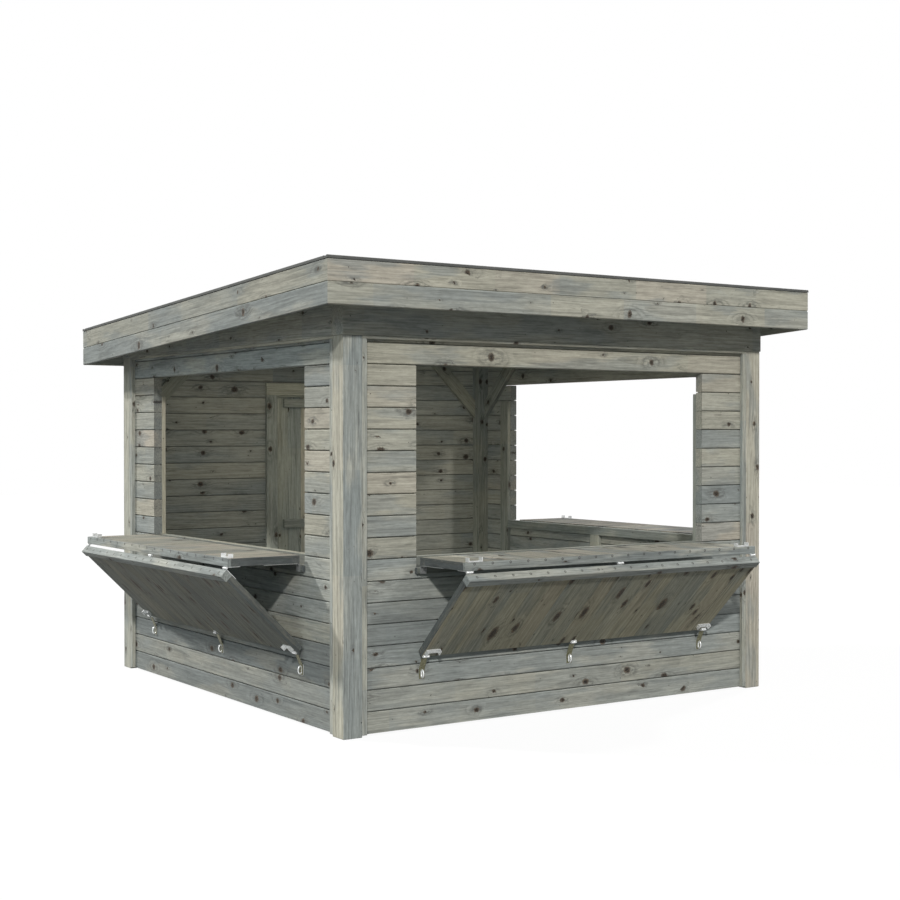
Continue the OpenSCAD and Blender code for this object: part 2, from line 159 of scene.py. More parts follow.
def setGrain(obj, along, across, tone=None, shade=1.0, shift=None, ends=0.0, faceTone=None):
    # grain coordinates on face corners, heartwood coordinates on points,
    # tone, share of the dark colour for end grain and painted shade, and a shade factor on faces
    mesh = obj.data
    along, across = Vector(along).normalized(), Vector(across).normalized()
    deep = along.cross(across)
    if shift is None:
        shift = newShift()
    if tone is None:
        tone = dice.random()
    luck = random.Random(shift[0])
    middle = sum((v.co for v in mesh.vertices), Vector()) / len(mesh.vertices)
    aside = luck.uniform(-grainRule["heartAside"], grainRule["heartAside"])
    below = luck.uniform(*grainRule["heartDeep"])
    lean = luck.uniform(-grainRule["heartLean"], grainRule["heartLean"])
    space, rings, marks = [], [], []
    for v in mesh.vertices:
        x, y, z = v.co.dot(along), v.co.dot(across), v.co.dot(deep)
        rings += [x, y - middle.dot(across) + aside, z - middle.dot(deep) + below + x * lean]
    for face in mesh.polygons:
        isEnd = abs(face.normal.dot(along)) > grainRule["endSlope"]
        marks += [faceTone(face.normal) if faceTone else tone, ends if isEnd else 0.0, shade]
        onSide = abs(face.normal.dot(across)) > grainRule["sideSlope"]
        for corner in face.vertices:
            spot = mesh.vertices[corner].co
            x, y, z = spot.dot(along), spot.dot(across), spot.dot(deep)
            if onSide:
                y, z = z + grainRule["sideStep"], y
            space += [x + shift[0], y + shift[1], z + shift[2]]
    for name, domain, values in (("woodSpace", "CORNER", space), ("heartSpace", "POINT", rings),
                                 ("boardFacts", "FACE", marks)):
        mesh.attributes.new(name, "FLOAT_VECTOR", domain).data.foreach_set("vector", values)


def newShift():
    return [dice.uniform(-grainRule["spread"], grainRule["spread"]) for axis in range(3)]


def paintShadeOnFaces(obj, chosen, share):
    # a share of the dark end colour on the chosen faces, as painted shade
    marks = obj.data.attributes["boardFacts"].data
    for face in obj.data.polygons:
        if chosen(face.normal):
            marks[face.index].vector[1] = share


def paintShadeOnSides(obj):
    # painted shade on the faces that look along x
    paintShadeOnFaces(obj, lambda normal: abs(normal.x) > grainRule["endSlope"], 1.0)


grainAxes = {
    "x": ((1, 0, 0), (0, 0, 1)),
    "y": ((0, 1, 0), (1, 0, 0)),
    "z": ((0, 0, 1), (1, 0, 0)),
}


def blockOf(low, high):
    # cube primitive at its size and place
    low, high = Vector(low), Vector(high)
    obj = added(bpy.ops.mesh.primitive_cube_add, size=1, location=(low + high) / 2)
    obj.scale = high - low
    bpy.ops.object.transform_apply(location=True, rotation=True, scale=True)
    return obj


def timber(low, high, grain, arris, tone=None, shade=1.0, shift=None, ends=0.0, faceTone=None):
    # sawn timber with eased edges, rounder on the larger ones
    obj = blockOf(low, high)
    bevelEdges(obj, anyEdge, arris, 2 if arris > roundFrom else 1)
    setGrain(obj, *grainAxes[grain], tone, shade, shift, ends, faceTone)
    return obj


def groovedBoard(low, high, grain, joints, width, slot=0.0, tone=None, shade=1.0, shift=None,
                 ends=0.0):
    # board with V chamfers along its joint edges; joints holds (axis, value) pairs
    low, high = Vector(low), Vector(high)
    run = "xyz".index(grain)
    near = 1e-5
    edges = []
    for axis, value in joints:
        if abs(value - low[axis]) < near:
            low[axis] += slot / 2
            edges.append((axis, low[axis]))
        else:
            high[axis] -= slot / 2
            edges.append((axis, high[axis]))
    obj = blockOf(low, high)
    for axis, value in edges:
        def onJoint(a, b):
            level = abs(a[axis] - value) < near and abs(b[axis] - value) < near
            return level and abs(a[run] - b[run]) > close
        bevelEdges(obj, onJoint, width)
    setGrain(obj, *grainAxes[grain], tone, shade, shift, ends)
    return obj


def placed(parts, matrix):
    for obj in parts:
        obj.data.transform(matrix)
    return parts


def span(end, near, far):
    # lower and higher x of a piece at one end of a wall
    return sorted((end * near, end * far))


def joined(name, parts, material, nodes=(), body="stall", slot=None):
    # one piece from its boards, on its body, in place of its nodes
    deselectAll()
    for obj in parts:
        obj.select_set(True)
    bpy.context.view_layer.objects.active = parts[0]
    if len(parts) > 1:
        bpy.ops.object.join()
    obj = bpy.context.view_layer.objects.active
    obj.name = name
    obj.data.name = name
    obj.data.materials.clear()
    obj.data.materials.append(material)
    slot = slot or slotOf[material]
    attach(obj, body)
    if nodes:
        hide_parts(*nodes)
    return obj


# shader helpers
def fill(tree, node, inputs):
    # numbers and colours are set on the inputs, other sockets are linked to them
    for key, value in inputs.items():
        if hasattr(value, "is_linked"):
            tree.links.new(value, node.inputs[key])
        else:
            node.inputs[key].default_value = value
    return node


def addNode(tree, kind, inputs=None, **values):
    node = tree.nodes.new(kind)
    for key, value in values.items():
        setattr(node, key, value)
    return fill(tree, node, inputs or {})


def mathOf(tree, operation, *values, clamp=False):
    inputs = dict(enumerate(values))
    return addNode(tree, "ShaderNodeMath", inputs, operation=operation, use_clamp=clamp).outputs[0]


def times(tree, *values):
    total = values[0]
    for value in values[1:]:
        total = mathOf(tree, "MULTIPLY", total, value)
    return total


def vectorOf(tree, operation, *values):
    node = addNode(tree, "ShaderNodeVectorMath", dict(enumerate(values)), operation=operation)
    return node.outputs["Value" if operation == "LENGTH" else "Vector"]


def rangeOf(tree, value, low, high, outLow=0.0, outHigh=1.0, smooth=True):
    inputs = {"Value": value, "From Min": low, "From Max": high, "To Min": outLow, "To Max": outHigh}
    kind = "SMOOTHSTEP" if smooth else "LINEAR"
    return addNode(tree, "ShaderNodeMapRange", inputs, interpolation_type=kind).outputs["Result"]


def noiseOf(tree, vector, stretch, detail=3.0, rough=0.55, output=0):
    inputs = {"Vector": vectorOf(tree, "MULTIPLY", vector, stretch),
              "Scale": 1.0, "Detail": detail, "Roughness": rough}
    return addNode(tree, "ShaderNodeTexNoise", inputs).outputs[output]


def luckOf(tree, colour):
    # three random numbers from a cell's colour
    return addNode(tree, "ShaderNodeSeparateColor", {0: colour}).outputs


def cellsOf(tree, vector, scale):
    # random numbers of each cell, and the distance to its middle
    cells = addNode(tree, "ShaderNodeTexVoronoi", {"Vector": vector, "Scale": scale}, feature="F1")
    return luckOf(tree, cells.outputs["Color"]), cells.outputs["Distance"]


def partsOf(tree, vector):
    return addNode(tree, "ShaderNodeSeparateXYZ", {0: vector}).outputs


def attributeOf(tree, name):
    return addNode(tree, "ShaderNodeAttribute", attribute_name=name).outputs["Vector"]


def objectPlace(tree):
    return addNode(tree, "ShaderNodeTexCoord").outputs["Object"]


def addBump(tree, shader, height, strength, distance):
    bump = addNode(tree, "ShaderNodeBump", {"Strength": strength, "Distance": distance, "Height": height})
    fill(tree, shader, {"Normal": bump.outputs[0]})


def mixOf(tree, factor, first, second, blend="MIX"):
    inputs = {0: factor, 6: first, 7: second}
    return addNode(tree, "ShaderNodeMix", inputs, data_type="RGBA", blend_type=blend).outputs[2]


def rampOf(tree, value, stops):
    node = addNode(tree, "ShaderNodeValToRGB", {0: value})
    band = node.color_ramp
    while len(band.elements) < len(stops):
        band.elements.new(0.5)
    for element, (place, colour) in zip(band.elements, stops):
        element.position = place
        element.color = (*colour, 1)
    return node.outputs[0]


def newGroup(name, inputs, outputs):
    tree = bpy.data.node_groups.new(name, "ShaderNodeTree")
    for label, kind, value in inputs:
        socket = tree.interface.new_socket(label, in_out="INPUT", socket_type=kind)
        socket.default_value = value
    for label, kind in outputs:
        tree.interface.new_socket(label, in_out="OUTPUT", socket_type=kind)
    return tree, addNode(tree, "NodeGroupInput"), addNode(tree, "NodeGroupOutput")


# stained wood: board tint, blue-grey and pale patches, growth rings that close round knots
stain = {
    "tints": (
        (0.00, (0.205, 0.224, 0.218)),
        (0.25, (0.243, 0.255, 0.238)),
        (0.50, (0.281, 0.280, 0.240)),
        (0.75, (0.318, 0.307, 0.253)),
        (1.00, (0.338, 0.310, 0.260)),
    ),
    "patchBlue": (0.205, 0.224, 0.220, 1),
    "patchPale": (0.375, 0.360, 0.300, 1),
    "knotCore": (0.018, 0.015, 0.012, 1),
    "knotRim": (0.062, 0.052, 0.042, 1),
    "knotCrack": (0.150, 0.100, 0.062, 1),
    "smear": (0.088, 0.090, 0.084, 1),
    "endGrainAndShade": (0.053, 0.060, 0.062, 1),
    "knots": {"cell": (0.300, 0.120), "none": 0.34, "biggest": 0.019},
    "pins": {"cell": (0.190, 0.085), "none": 0.45, "biggest": 0.0048},
    "cellDepth": 0.35, "scatter": 0.85, "knotPower": 1.3, "leastKnot": 0.0003,
    "ringPitch": 0.0150, "stepLength": 0.55, "push": (0.024, 0.022, 0.0), "haloSquash": (0.42, 1.0, 0.0),
    "ringShare": 0.38, "broadShare": 0.28, "fineShare": 0.40, "streakDepth": 0.80,
}

# scale of each pattern along, across and through the board
figure = {
    "wobble": (60.0, 60.0, 60.0), "broken": (30.0, 85.0, 85.0), "cracks": (120.0, 260.0, 200.0),
    "sway": (1.3, 7.0, 7.0), "fade": (1.0, 16.0, 16.0), "broad": (2.0, 58.0, 58.0),
    "fine": (5.0, 150.0, 150.0), "patch": (1.9, 6.0, 6.0), "dash": (7.0, 120.0, 120.0),
    "speck": (20.0, 75.0, 75.0),
}


def knotField(tree, space, kind):
    # one knot in each cell of the board, with its own size; some cells have none
    length, width = kind["cell"]
    scaled = vectorOf(tree, "MULTIPLY", space, (1 / length, 1 / width, stain["cellDepth"]))
    inputs = {"Vector": scaled, "Scale": 1.0, "Randomness": stain["scatter"]}
    cells = addNode(tree, "ShaderNodeTexVoronoi", inputs, voronoi_dimensions="3D", feature="F1")
    offset = vectorOf(tree, "SUBTRACT", scaled, cells.outputs["Position"])
    offset = vectorOf(tree, "MULTIPLY", offset, (length, width, 0.0))
    luck = luckOf(tree, cells.outputs["Color"])
    share = rangeOf(tree, luck[0], kind["none"], 1.0, smooth=False)
    share = mathOf(tree, "POWER", share, stain["knotPower"])
    size = mathOf(tree, "MULTIPLY_ADD", share, kind["biggest"], stain["leastKnot"])
    return offset, size, luck[1]


def stainedWoodGroup():
    tree, given, result = newGroup("stainedWood", [
        ("Tint", "NodeSocketColor", (1, 1, 1, 1)),
        ("Patches", "NodeSocketFloat", 0.6),
        ("Steps", "NodeSocketFloat", 0.3),
        ("Streaks", "NodeSocketFloat", 0.5),
        ("Knots", "NodeSocketFloat", 1.0),
        ("Knot Length", "NodeSocketFloat", 1.3),
    ], [
        ("Color", "NodeSocketColor"),
        ("Roughness", "NodeSocketFloat"),
        ("Height", "NodeSocketFloat"),
    ])
    space, heart = attributeOf(tree, "woodSpace"), attributeOf(tree, "heartSpace")
    tone, endGrainAndShade, shade = partsOf(tree, attributeOf(tree, "boardFacts"))

    # knots, warped a little so that none is round
    wobble = noiseOf(tree, space, figure["wobble"], 4.0, 0.7, "Color")
    push = vectorOf(tree, "SUBTRACT", wobble, (0.5, 0.5, 0.5))
    warped = vectorOf(tree, "ADD", space, vectorOf(tree, "MULTIPLY", push, stain["push"]))
    offset, size, luck = knotField(tree, warped, stain["knots"])
    size = times(tree, size, given.outputs["Knots"])
    shorter = mathOf(tree, "DIVIDE", 1.0, given.outputs["Knot Length"])
    squeeze = addNode(tree, "ShaderNodeCombineXYZ", {0: shorter, 1: 1.0}).outputs[0]
    reach = vectorOf(tree, "LENGTH", vectorOf(tree, "MULTIPLY", offset, squeeze))
    knot = rangeOf(tree, reach, size, times(tree, size, 0.7))
    core = rangeOf(tree, reach, times(tree, size, 0.78), times(tree, size, 0.35))
    spread = vectorOf(tree, "LENGTH", vectorOf(tree, "MULTIPLY", offset, stain["haloSquash"]))
    halo = rangeOf(tree, spread, times(tree, size, 2.6), times(tree, size, 0.5))
    broken = rangeOf(tree, noiseOf(tree, space, figure["broken"], 3.0, 0.65), 0.42, 0.60, 0.12, 1.0)
    smudge = times(tree, halo, broken)
    cracks = rangeOf(tree, noiseOf(tree, space, figure["cracks"], 2.0), 0.50, 0.62)
    pinOffset, pinSize, pinLuck = knotField(tree, warped, stain["pins"])
    pinReach = vectorOf(tree, "LENGTH", vectorOf(tree, "MULTIPLY", pinOffset, squeeze))
    pin = rangeOf(tree, pinReach, pinSize, times(tree, pinSize, 0.45))
    pin = times(tree, pin, rangeOf(tree, pinLuck, 0.0, 1.0, 0.55, 1.0, False))

    # growth rings about the heart of the tree
    sway = noiseOf(tree, space, figure["sway"], 2.0)
    radius = vectorOf(tree, "LENGTH", vectorOf(tree, "MULTIPLY", heart, (0.0, 1.0, 1.0)))
    radius = mathOf(tree, "ADD", radius, times(tree, sway, 0.022))
    radius = mathOf(tree, "ADD", radius, times(tree, halo, size, 1.2))
    phase = mathOf(tree, "FRACT", mathOf(tree, "DIVIDE", radius, stain["ringPitch"]))
    late = times(tree, rangeOf(tree, phase, 0.35, 0.88), rangeOf(tree, phase, 1.0, 0.94))
    fade = noiseOf(tree, space, figure["fade"], 1.0)
    late = times(tree, late, rangeOf(tree, fade, 0.35, 0.65, 0.3, 1.0))
    late = times(tree, late, mathOf(tree, "ADD", 1.0, halo))

    # streaks step aside round a knot
    sideways = partsOf(tree, offset)[1]
    side = mathOf(tree, "DIVIDE", sideways,
                  mathOf(tree, "ADD", mathOf(tree, "ABSOLUTE", sideways), 0.008))
    aside = addNode(tree, "ShaderNodeCombineXYZ", {1: times(tree, halo, side, size, -0.9)})
    bent = vectorOf(tree, "ADD", space, aside.outputs[0])
    broad = noiseOf(tree, bent, figure["broad"], 4.0, 0.68)
    fine = noiseOf(tree, bent, figure["fine"], 2.0, 0.6)
    lines = times(tree, late, stain["ringShare"])
    for streak, share in ((broad, stain["broadShare"]), (fine, stain["fineShare"])):
        lines = mathOf(tree, "ADD", lines, times(tree, rangeOf(tree, streak, 0.40, 0.60), share))

    # colour: board tint in steps along the board, soft patches, streaks, smears and knots
    inputs = {"W": partsOf(tree, space)[0], "Scale": 1.0 / stain["stepLength"]}
    steps = addNode(tree, "ShaderNodeTexVoronoi", inputs, voronoi_dimensions="1D", feature="F1")
    stepLuck = luckOf(tree, steps.outputs["Color"])[0]
    jump = times(tree, mathOf(tree, "SUBTRACT", stepLuck, 0.5), given.outputs["Steps"])
    colour = rampOf(tree, mathOf(tree, "ADD", tone, jump, clamp=True), stain["tints"])
    patch = noiseOf(tree, space, figure["patch"], 3.0, 0.5)
    patch = mathOf(tree, "ADD", patch, times(tree, mathOf(tree, "SUBTRACT", broad, 0.5), 0.22))
    blue = times(tree, rangeOf(tree, patch, 0.50, 0.62), given.outputs["Patches"])
    pale = times(tree, rangeOf(tree, patch, 0.48, 0.36), given.outputs["Patches"], 0.7)
    colour = mixOf(tree, blue, colour, stain["patchBlue"])
    colour = mixOf(tree, pale, colour, stain["patchPale"])
    depth = times(tree, mathOf(tree, "SUBTRACT", 0.45, lines), stain["streakDepth"], given.outputs["Streaks"])
    dash = rangeOf(tree, noiseOf(tree, bent, figure["dash"], 1.0), 0.66, 0.76, 1.0, 0.68)
    speck = noiseOf(tree, space, figure["speck"], 4.0, 0.72)
    mottle = rangeOf(tree, speck, 0.30, 0.70, 0.85, 1.13, False)
    # the shade factor gives boards random variety and, on some pieces, painted shade or painted light
    dark = times(tree, mathOf(tree, "ADD", 1.0, depth), dash, mottle, shade)
    grey = addNode(tree, "ShaderNodeCombineColor", {0: dark, 1: dark, 2: dark})
    colour = mixOf(tree, 1.0, colour, grey.outputs[0], "MULTIPLY")
    smudge = times(tree, smudge, rangeOf(tree, luck, 0.0, 1.0, 0.35, 0.85, False))
    colour = mixOf(tree, smudge, colour, stain["smear"])
    rim = mixOf(tree, cracks, stain["knotRim"], stain["knotCrack"])
    colour = mixOf(tree, times(tree, knot, 0.85), colour, rim)
    core = times(tree, core, mathOf(tree, "SUBTRACT", 1.0, times(tree, cracks, 0.45)))
    colour = mixOf(tree, core, colour, stain["knotCore"])
    colour = mixOf(tree, times(tree, pin, 0.9), colour, stain["knotCore"])
    colour = mixOf(tree, 1.0, colour, given.outputs["Tint"], "MULTIPLY")
    # share of the dark slate colour: partly end grain's own darker colour, partly painted shade on leaf
    # sides, jamb ends, sill rails and ledgers
    endGrainAndShade = times(tree, endGrainAndShade, rangeOf(tree, speck, 0.3, 0.7, 0.95, 0.75))
    colour = mixOf(tree, endGrainAndShade, colour, stain["endGrainAndShade"])
    rough = rangeOf(tree, lines, 0.0, 1.0, 0.66, 0.84, False)
    height = mathOf(tree, "MULTIPLY_ADD", lines, -0.6, times(tree, knot, 0.5))
    fill(tree, result, {"Color": colour, "Roughness": rough, "Height": height})
    return tree


woodGroup = stainedWoodGroup()


def newMaterial(name):
    material = bpy.data.materials.new(name)
    material.use_nodes = True
    tree = material.node_tree
    return material, tree, tree.nodes["Principled BSDF"]


woodFinish = {"relief": 0.35, "reliefDepth": 0.0010, "specular": 0.25}


def woodMaterial(name, tint, *looks):
    material, tree, shader = newMaterial(name)
    inputs = dict(zip(("Patches", "Steps", "Streaks", "Knots", "Knot Length"), looks), Tint=(*tint, 1))
    wood = addNode(tree, "ShaderNodeGroup", inputs, node_tree=woodGroup).outputs
    fill(tree, shader, {"Base Color": wood["Color"], "Roughness": wood["Roughness"],
                        "Specular IOR Level": woodFinish["specular"]})
    addBump(tree, shader, wood["Height"], woodFinish["relief"], woodFinish["reliefDepth"])
    return material


woodLooks = {  # tint, patches, steps, streaks, knots, knot length
    "plankWood": ((1.0, 1.0, 1.0), 0.50, 0.20, 0.60, 1.25, 1.3),
    "lintelWood": ((0.98, 0.98, 0.97), 0.50, 0.20, 0.65, 1.6, 0.9),
    "frameWood": ((1.04, 1.04, 1.04), 0.55, 0.25, 0.75, 1.0, 1.3),
    "fasciaWood": ((1.0, 1.0, 1.0), 0.60, 0.40, 0.65, 1.6, 0.75),
    "hatchWood": ((0.80, 0.80, 0.80), 0.75, 0.35, 0.95, 1.3, 2.2),
    "flapWood": ((1.0, 0.98, 0.88), 0.60, 0.20, 0.65, 1.55, 2.4),
    "innerWood": ((0.90, 0.90, 0.85), 0.45, 0.25, 0.60, 1.0, 1.3),
    "doorWood": ((1.25, 1.24, 1.16), 0.35, 0.15, 0.70, 1.2, 1.3),
}
plankWood, lintelWood, frameWood, fasciaWood, hatchWood, flapWood, innerWood, doorWood = (
    woodMaterial(name, *looks) for name, looks in woodLooks.items())


def metalMaterial(name, stops, rough, metallic):
    # plated sheet: spangle and dull streaks
    material, tree, shader = newMaterial(name)
    place = objectPlace(tree)
    luck = cellsOf(tree, place, 160.0)[0]
    dull = noiseOf(tree, place, (60.0, 60.0, 60.0), 4.0, 0.6)
    tone = mathOf(tree, "MULTIPLY_ADD", luck[0], 0.35, mathOf(tree, "MULTIPLY", dull, 0.8))
    rough = rangeOf(tree, tone, 0.2, 0.9, rough + 0.18, rough, False)
    fill(tree, shader, {"Base Color": rampOf(tree, tone, stops), "Roughness": rough, "Metallic": metallic})
    addBump(tree, shader, dull, 0.15, 0.0004)
    return material


def feltMaterial():
    # mineral felt: dark slate chips
    material, tree, shader = newMaterial("roofFelt")
    place = objectPlace(tree)
    luck, chip = cellsOf(tree, place, 420.0)
    worn = noiseOf(tree, place, (2.2, 2.2, 2.2), 4.0, 0.6)
    colour = rampOf(tree, luck[0], (
        (0.0, (0.035, 0.037, 0.040)), (0.6, (0.065, 0.067, 0.070)), (1.0, (0.135, 0.135, 0.135))))
    colour = mixOf(tree, rangeOf(tree, worn, 0.42, 0.72, 0.0, 0.55), colour, (0.105, 0.102, 0.094, 1))
    rough = rangeOf(tree, luck[1], 0.0, 1.0, 0.78, 0.96, False)
    fill(tree, shader, {"Base Color": colour, "Roughness": rough})
    addBump(tree, shader, chip, 0.6, 0.001)
    return material


def edgeMaterial():
    # coated edge profile with a little chalking
    material, tree, shader = newMaterial("edgeProfile")
    place = objectPlace(tree)
    chalk = noiseOf(tree, place, (5.0, 5.0, 14.0), 4.0, 0.6)
    grit = noiseOf(tree, place, (260.0, 260.0, 260.0), 2.0)
    colour = rampOf(tree, chalk, (
        (0.3, (0.070, 0.073, 0.070)), (0.55, (0.092, 0.094, 0.090)), (0.8, (0.125, 0.126, 0.120))))
    rough = rangeOf(tree, grit, 0.3, 0.7, 0.62, 0.80, False)
    fill(tree, shader, {"Base Color": colour, "Roughness": rough, "Specular IOR Level": 0.15})
    addBump(tree, shader, grit, 0.1, 0.0004)
    return material


def screwMaterial():
    # dark plated screw heads
    material, tree, shader = newMaterial("screwHead")
    wear = noiseOf(tree, objectPlace(tree), (300.0, 300.0, 300.0), 3.0)
    colour = rampOf(tree, wear, ((0.3, (0.018, 0.017, 0.015)), (0.7, (0.055, 0.052, 0.046))))
    rough = rangeOf(tree, wear, 0.3, 0.7, 0.65, 0.45, False)
    fill(tree, shader, {"Base Color": colour, "Roughness": rough, "Metallic": 0.6})
    return material


zincPlate = metalMaterial("zincPlate", (
    (0.2, (0.46, 0.47, 0.47)), (0.55, (0.68, 0.69, 0.69)), (0.9, (0.82, 0.83, 0.82))), 0.30, 0.55)
# darker, duller zinc for the sill hinges: painted shade under the counters
shadowZinc = metalMaterial("shadowZinc", (
    (0.2, (0.20, 0.21, 0.21)), (0.55, (0.30, 0.31, 0.31)), (0.9, (0.42, 0.43, 0.42))), 0.42, 0.7)
# dark olive plating for the hasps: painted shade with a greenish painted reflection
shadedStrap = metalMaterial("shadedStrap", (
    (0.2, (0.075, 0.073, 0.040)), (0.55, (0.115, 0.112, 0.064)), (0.9, (0.19, 0.185, 0.12))), 0.38, 0.6)
roofFelt = feltMaterial()
edgeProfile = edgeMaterial()
screwHead = screwMaterial()
slotOf = {
    plankWood: "plank_wood", lintelWood: "plank_wood", frameWood: "frame_wood", fasciaWood: "fascia_wood",
    hatchWood: "hatch_wood", flapWood: "hatch_wood", innerWood: "inner_wood", doorWood: "door_wood",
    zincPlate: "zinc", shadedStrap: "zinc", screwHead: "zinc", roofFelt: "roof_felt", edgeProfile: "roof_edge",
}
print("stall: materials ready")

# camera at the photograph's place
view = {"place": (-5.4088, -8.1949, 1.5934), "tilt": 89.347, "turn": -33.824, "lens": 60.73, "sensor": 36.0,
        "reach": 200}
camera = added(bpy.ops.object.camera_add, location=view["place"],
               rotation=(math.radians(view["tilt"]), 0, math.radians(view["turn"])))
camera.data.lens = view["lens"]
camera.data.sensor_width = view["sensor"]
camera.data.clip_end = view["reach"]
bpy.context.scene.camera = camera

# wall boards, tongued and grooved
boards = {"cover": 0.1144, "chamfer": 0.0040, "slot": 0.0040, "slotDepth": 0.016, "tongueLap": 0.006,
          "tongueIn": 0.001, "tongueArris": 0.0005, "tongueShade": 0.6, "least": 0.002, "endDark": 0.15,
          "tones": (0.15, 0.95), "shades": (0.94, 1.06), "backTones": (0.40, 0.75),
          "flapShadowRows": 4, "flapShadowTones": (0.10, 0.55), "flapShadowShades": (0.67, 0.75), "blueShadowRow": 2,
          "blueShadowShade": 0.66, "pierEndShade": {"front": 0.1, "right": 0.4, "left": 0.5},
          "lowerTones": {"front": (0.05, 0.65)}, "pierShade": {"front": 1.0, "right": 1.0, "left": 0.90},
          "lintelLooks": {"front": (0.80, 0.97), "right": (0.55, 1.0), "left": (0.0, 1.22)}}
rowEdges = [wallFoot]
while rowEdges[-1] < beamUnder - boards["least"]:
    rowEdges.append(min(rowEdges[-1] + boards["cover"], beamUnder))
for k, edge in enumerate(rowEdges):
    if abs(edge - lintelUnder) < close:
        rowEdges[k] = lintelUnder


def boardRows(x0, x1, z0, z1, seeds=None, ends=boards["endDark"]):
    # rows of a planked panel in a wall's frame, cut off at z0 and z1, and the tongues in their joints
    made = []
    near = 1e-4
    seeds = seeds or rowSeeds()
    for k, (low, high) in enumerate(zip(rowEdges, rowEdges[1:])):
        bottom, top = max(low, z0), min(high, z1)
        if top - bottom < boards["least"]:
            continue
        joints = [(2, edge) for edge in (low, high) if bottom - near < edge < top + near]
        joints = [j for j in joints if wallFoot + close < j[1] < beamUnder - close]
        tone, shade, shift = seeds[k]
        made.append(groovedBoard((x0, plankOut, bottom), (x1, plankIn, top), "x", joints,
                                 boards["chamfer"], boards["slot"], tone, shade, shift, ends))
        if z0 + near < top < z1 - near:
            # the tongue is darkened by tongueShade: painted shade in the joint's slot
            inset = Vector((boards["tongueIn"], boards["slotDepth"], -boards["tongueLap"]))
            made.append(timber(Vector((x0, plankOut, top)) + inset, Vector((x1, plankIn, top)) - inset, "x",
                               boards["tongueArris"], tone, boards["tongueShade"], shift))
    return made


def rowSeeds(tones=boards["tones"], shades=boards["shades"], rows=len(rowEdges)):
    # tone, shade and place in the wood for each row
    return [(dice.uniform(*tones), dice.uniform(*shades), newShift()) for row in range(rows)]


hatchHalf = leafHalf + leafGap
pierParts, lintelParts = [], []
for wall in hatchWalls:
    seeds = rowSeeds(boards["lowerTones"].get(wall, boards["tones"]))
    # on the left wall the lowest rows are darker and bluer, one row darker still: partly the boards' own
    # tone, partly painted shadow of the flap
    if wall == "left":
        flapShadowRows = boards["flapShadowRows"]
        seeds[:flapShadowRows] = rowSeeds(boards["flapShadowTones"], boards["flapShadowShades"], flapShadowRows)
        seeds[boards["blueShadowRow"]] = (0.0, boards["blueShadowShade"], newShift())
    lower = placed(boardRows(-clearHalf, clearHalf, wallFoot, sillTop, seeds), wallFrame(wall))
    joined(wall + "_wall_boards", lower, plankWood, [wall + "_wall"])
    sillRow = max(k for k, edge in enumerate(rowEdges) if edge < sillTop)
    for end in (-1, 1):
        share = boards["pierShade"][wall]
        other = [(tone, shade * share, shift) for tone, shade, shift in rowSeeds()]
        other[sillRow] = seeds[sillRow]
        # the pier boards' end faces at the jambs take the dark end colour per wall: end grain and painted
        # shade, deepest on the left wall
        pier = boardRows(*span(end, hatchHalf, clearHalf), sillTop, lintelUnder, other,
                         boards["pierEndShade"][wall])
        pierParts += placed(pier, wallFrame(wall))
    # lintelLooks gives the left lintel a shade above 1 and a blue tone: painted light, with a blue tint of
    # painted shade, on boards in the eave's shadow
    tone, shade = boards["lintelLooks"][wall]
    headSeeds = [(tone, shade, newShift()) for edge in rowEdges]
    lintel = boardRows(-clearHalf, clearHalf, lintelUnder, beamUnder, headSeeds)
    lintelParts += placed(lintel, wallFrame(wall))
joined("pier_boards", pierParts, plankWood, ["wall_piers"])
joined("lintel_boards", lintelParts, lintelWood, ["hatch_lintels"])

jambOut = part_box("door_lintel")[1].x
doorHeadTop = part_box("door_lintel")[0].z
backParts = []
for end in (-1, 1):
    backParts += boardRows(*span(end, jambOut, clearHalf), wallFoot, beamUnder, rowSeeds(boards["backTones"]))
joined("back_wall_boards", placed(backParts, wallFrame("back")), plankWood, ["back_wall"])
lintel = boardRows(-jambOut, jambOut, doorHeadTop, beamUnder)
joined("door_lintel_boards", placed(lintel, wallFrame("back")), plankWood, ["door_lintel"])
print("stall: walls boarded")

# posts, beams, braces and trims
framing = {"arris": 0.004, "trimArris": 0.002, "trimW": 0.030, "frontTone": 0.10, "sideTone": 0.74,
           "sideSlope": 0.6, "trimTone": 0.40, "headTone": 0.70, "headShade": 1.08, "beamShade": 0.93,
           "beamTones": (0.25, 0.5),
           "postTones": {"front_right": 0.90, "back_left": 0.60, "back_right": 0.60}}


def postTone(normal):
    # the faces to the front and back took the stain bluer than the side faces
    return framing["sideTone"] if abs(normal.x) > framing["sideSlope"] else framing["frontTone"]


for name in ("front_left", "front_right", "back_left", "back_right"):
    low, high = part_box("post_" + name)
    post = timber(low, high, "z", framing["arris"], tone=framing["postTones"].get(name),
                  faceTone=postTone if name == "front_left" else None)
    joined("post_timber_" + name, [post], frameWood, ["post_" + name])

deckLow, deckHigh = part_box("roof_deck")
fasciaLow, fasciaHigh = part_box("front_fascia")
backFasciaLow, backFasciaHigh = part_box("back_fascia")
frontEdge, frontTop = fasciaLow.y, fasciaHigh.z
roofSlope = (frontTop - backFasciaHigh.z) / (backFasciaLow.y - frontEdge)


def sloped(parts):
    # heights follow the roof's fall to the back
    for obj in parts:
        for v in obj.data.vertices:
            v.co.z -= (v.co.y - frontEdge) * roofSlope
    return parts


for side in ("front", "back", "left", "right"):
    low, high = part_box(side + "_beam")
    beam = blockOf(low, high)
    for v in beam.data.vertices:
        if v.co.z > beamUnder + close:
            v.co.z = high.z - (v.co.y - low.y) * roofSlope
    bevelEdges(beam, anyEdge, framing["arris"], 2)
    along = grainAxes["x" if side in ("front", "back") else "y"][0]
    # the low beamTones and beamShade darken the beams: painted shade under the eaves
    setGrain(beam, along, (0, 0, 1), dice.uniform(*framing["beamTones"]), framing["beamShade"])
    joined(side + "_beam_timber", [beam], frameWood, [side + "_beam"])

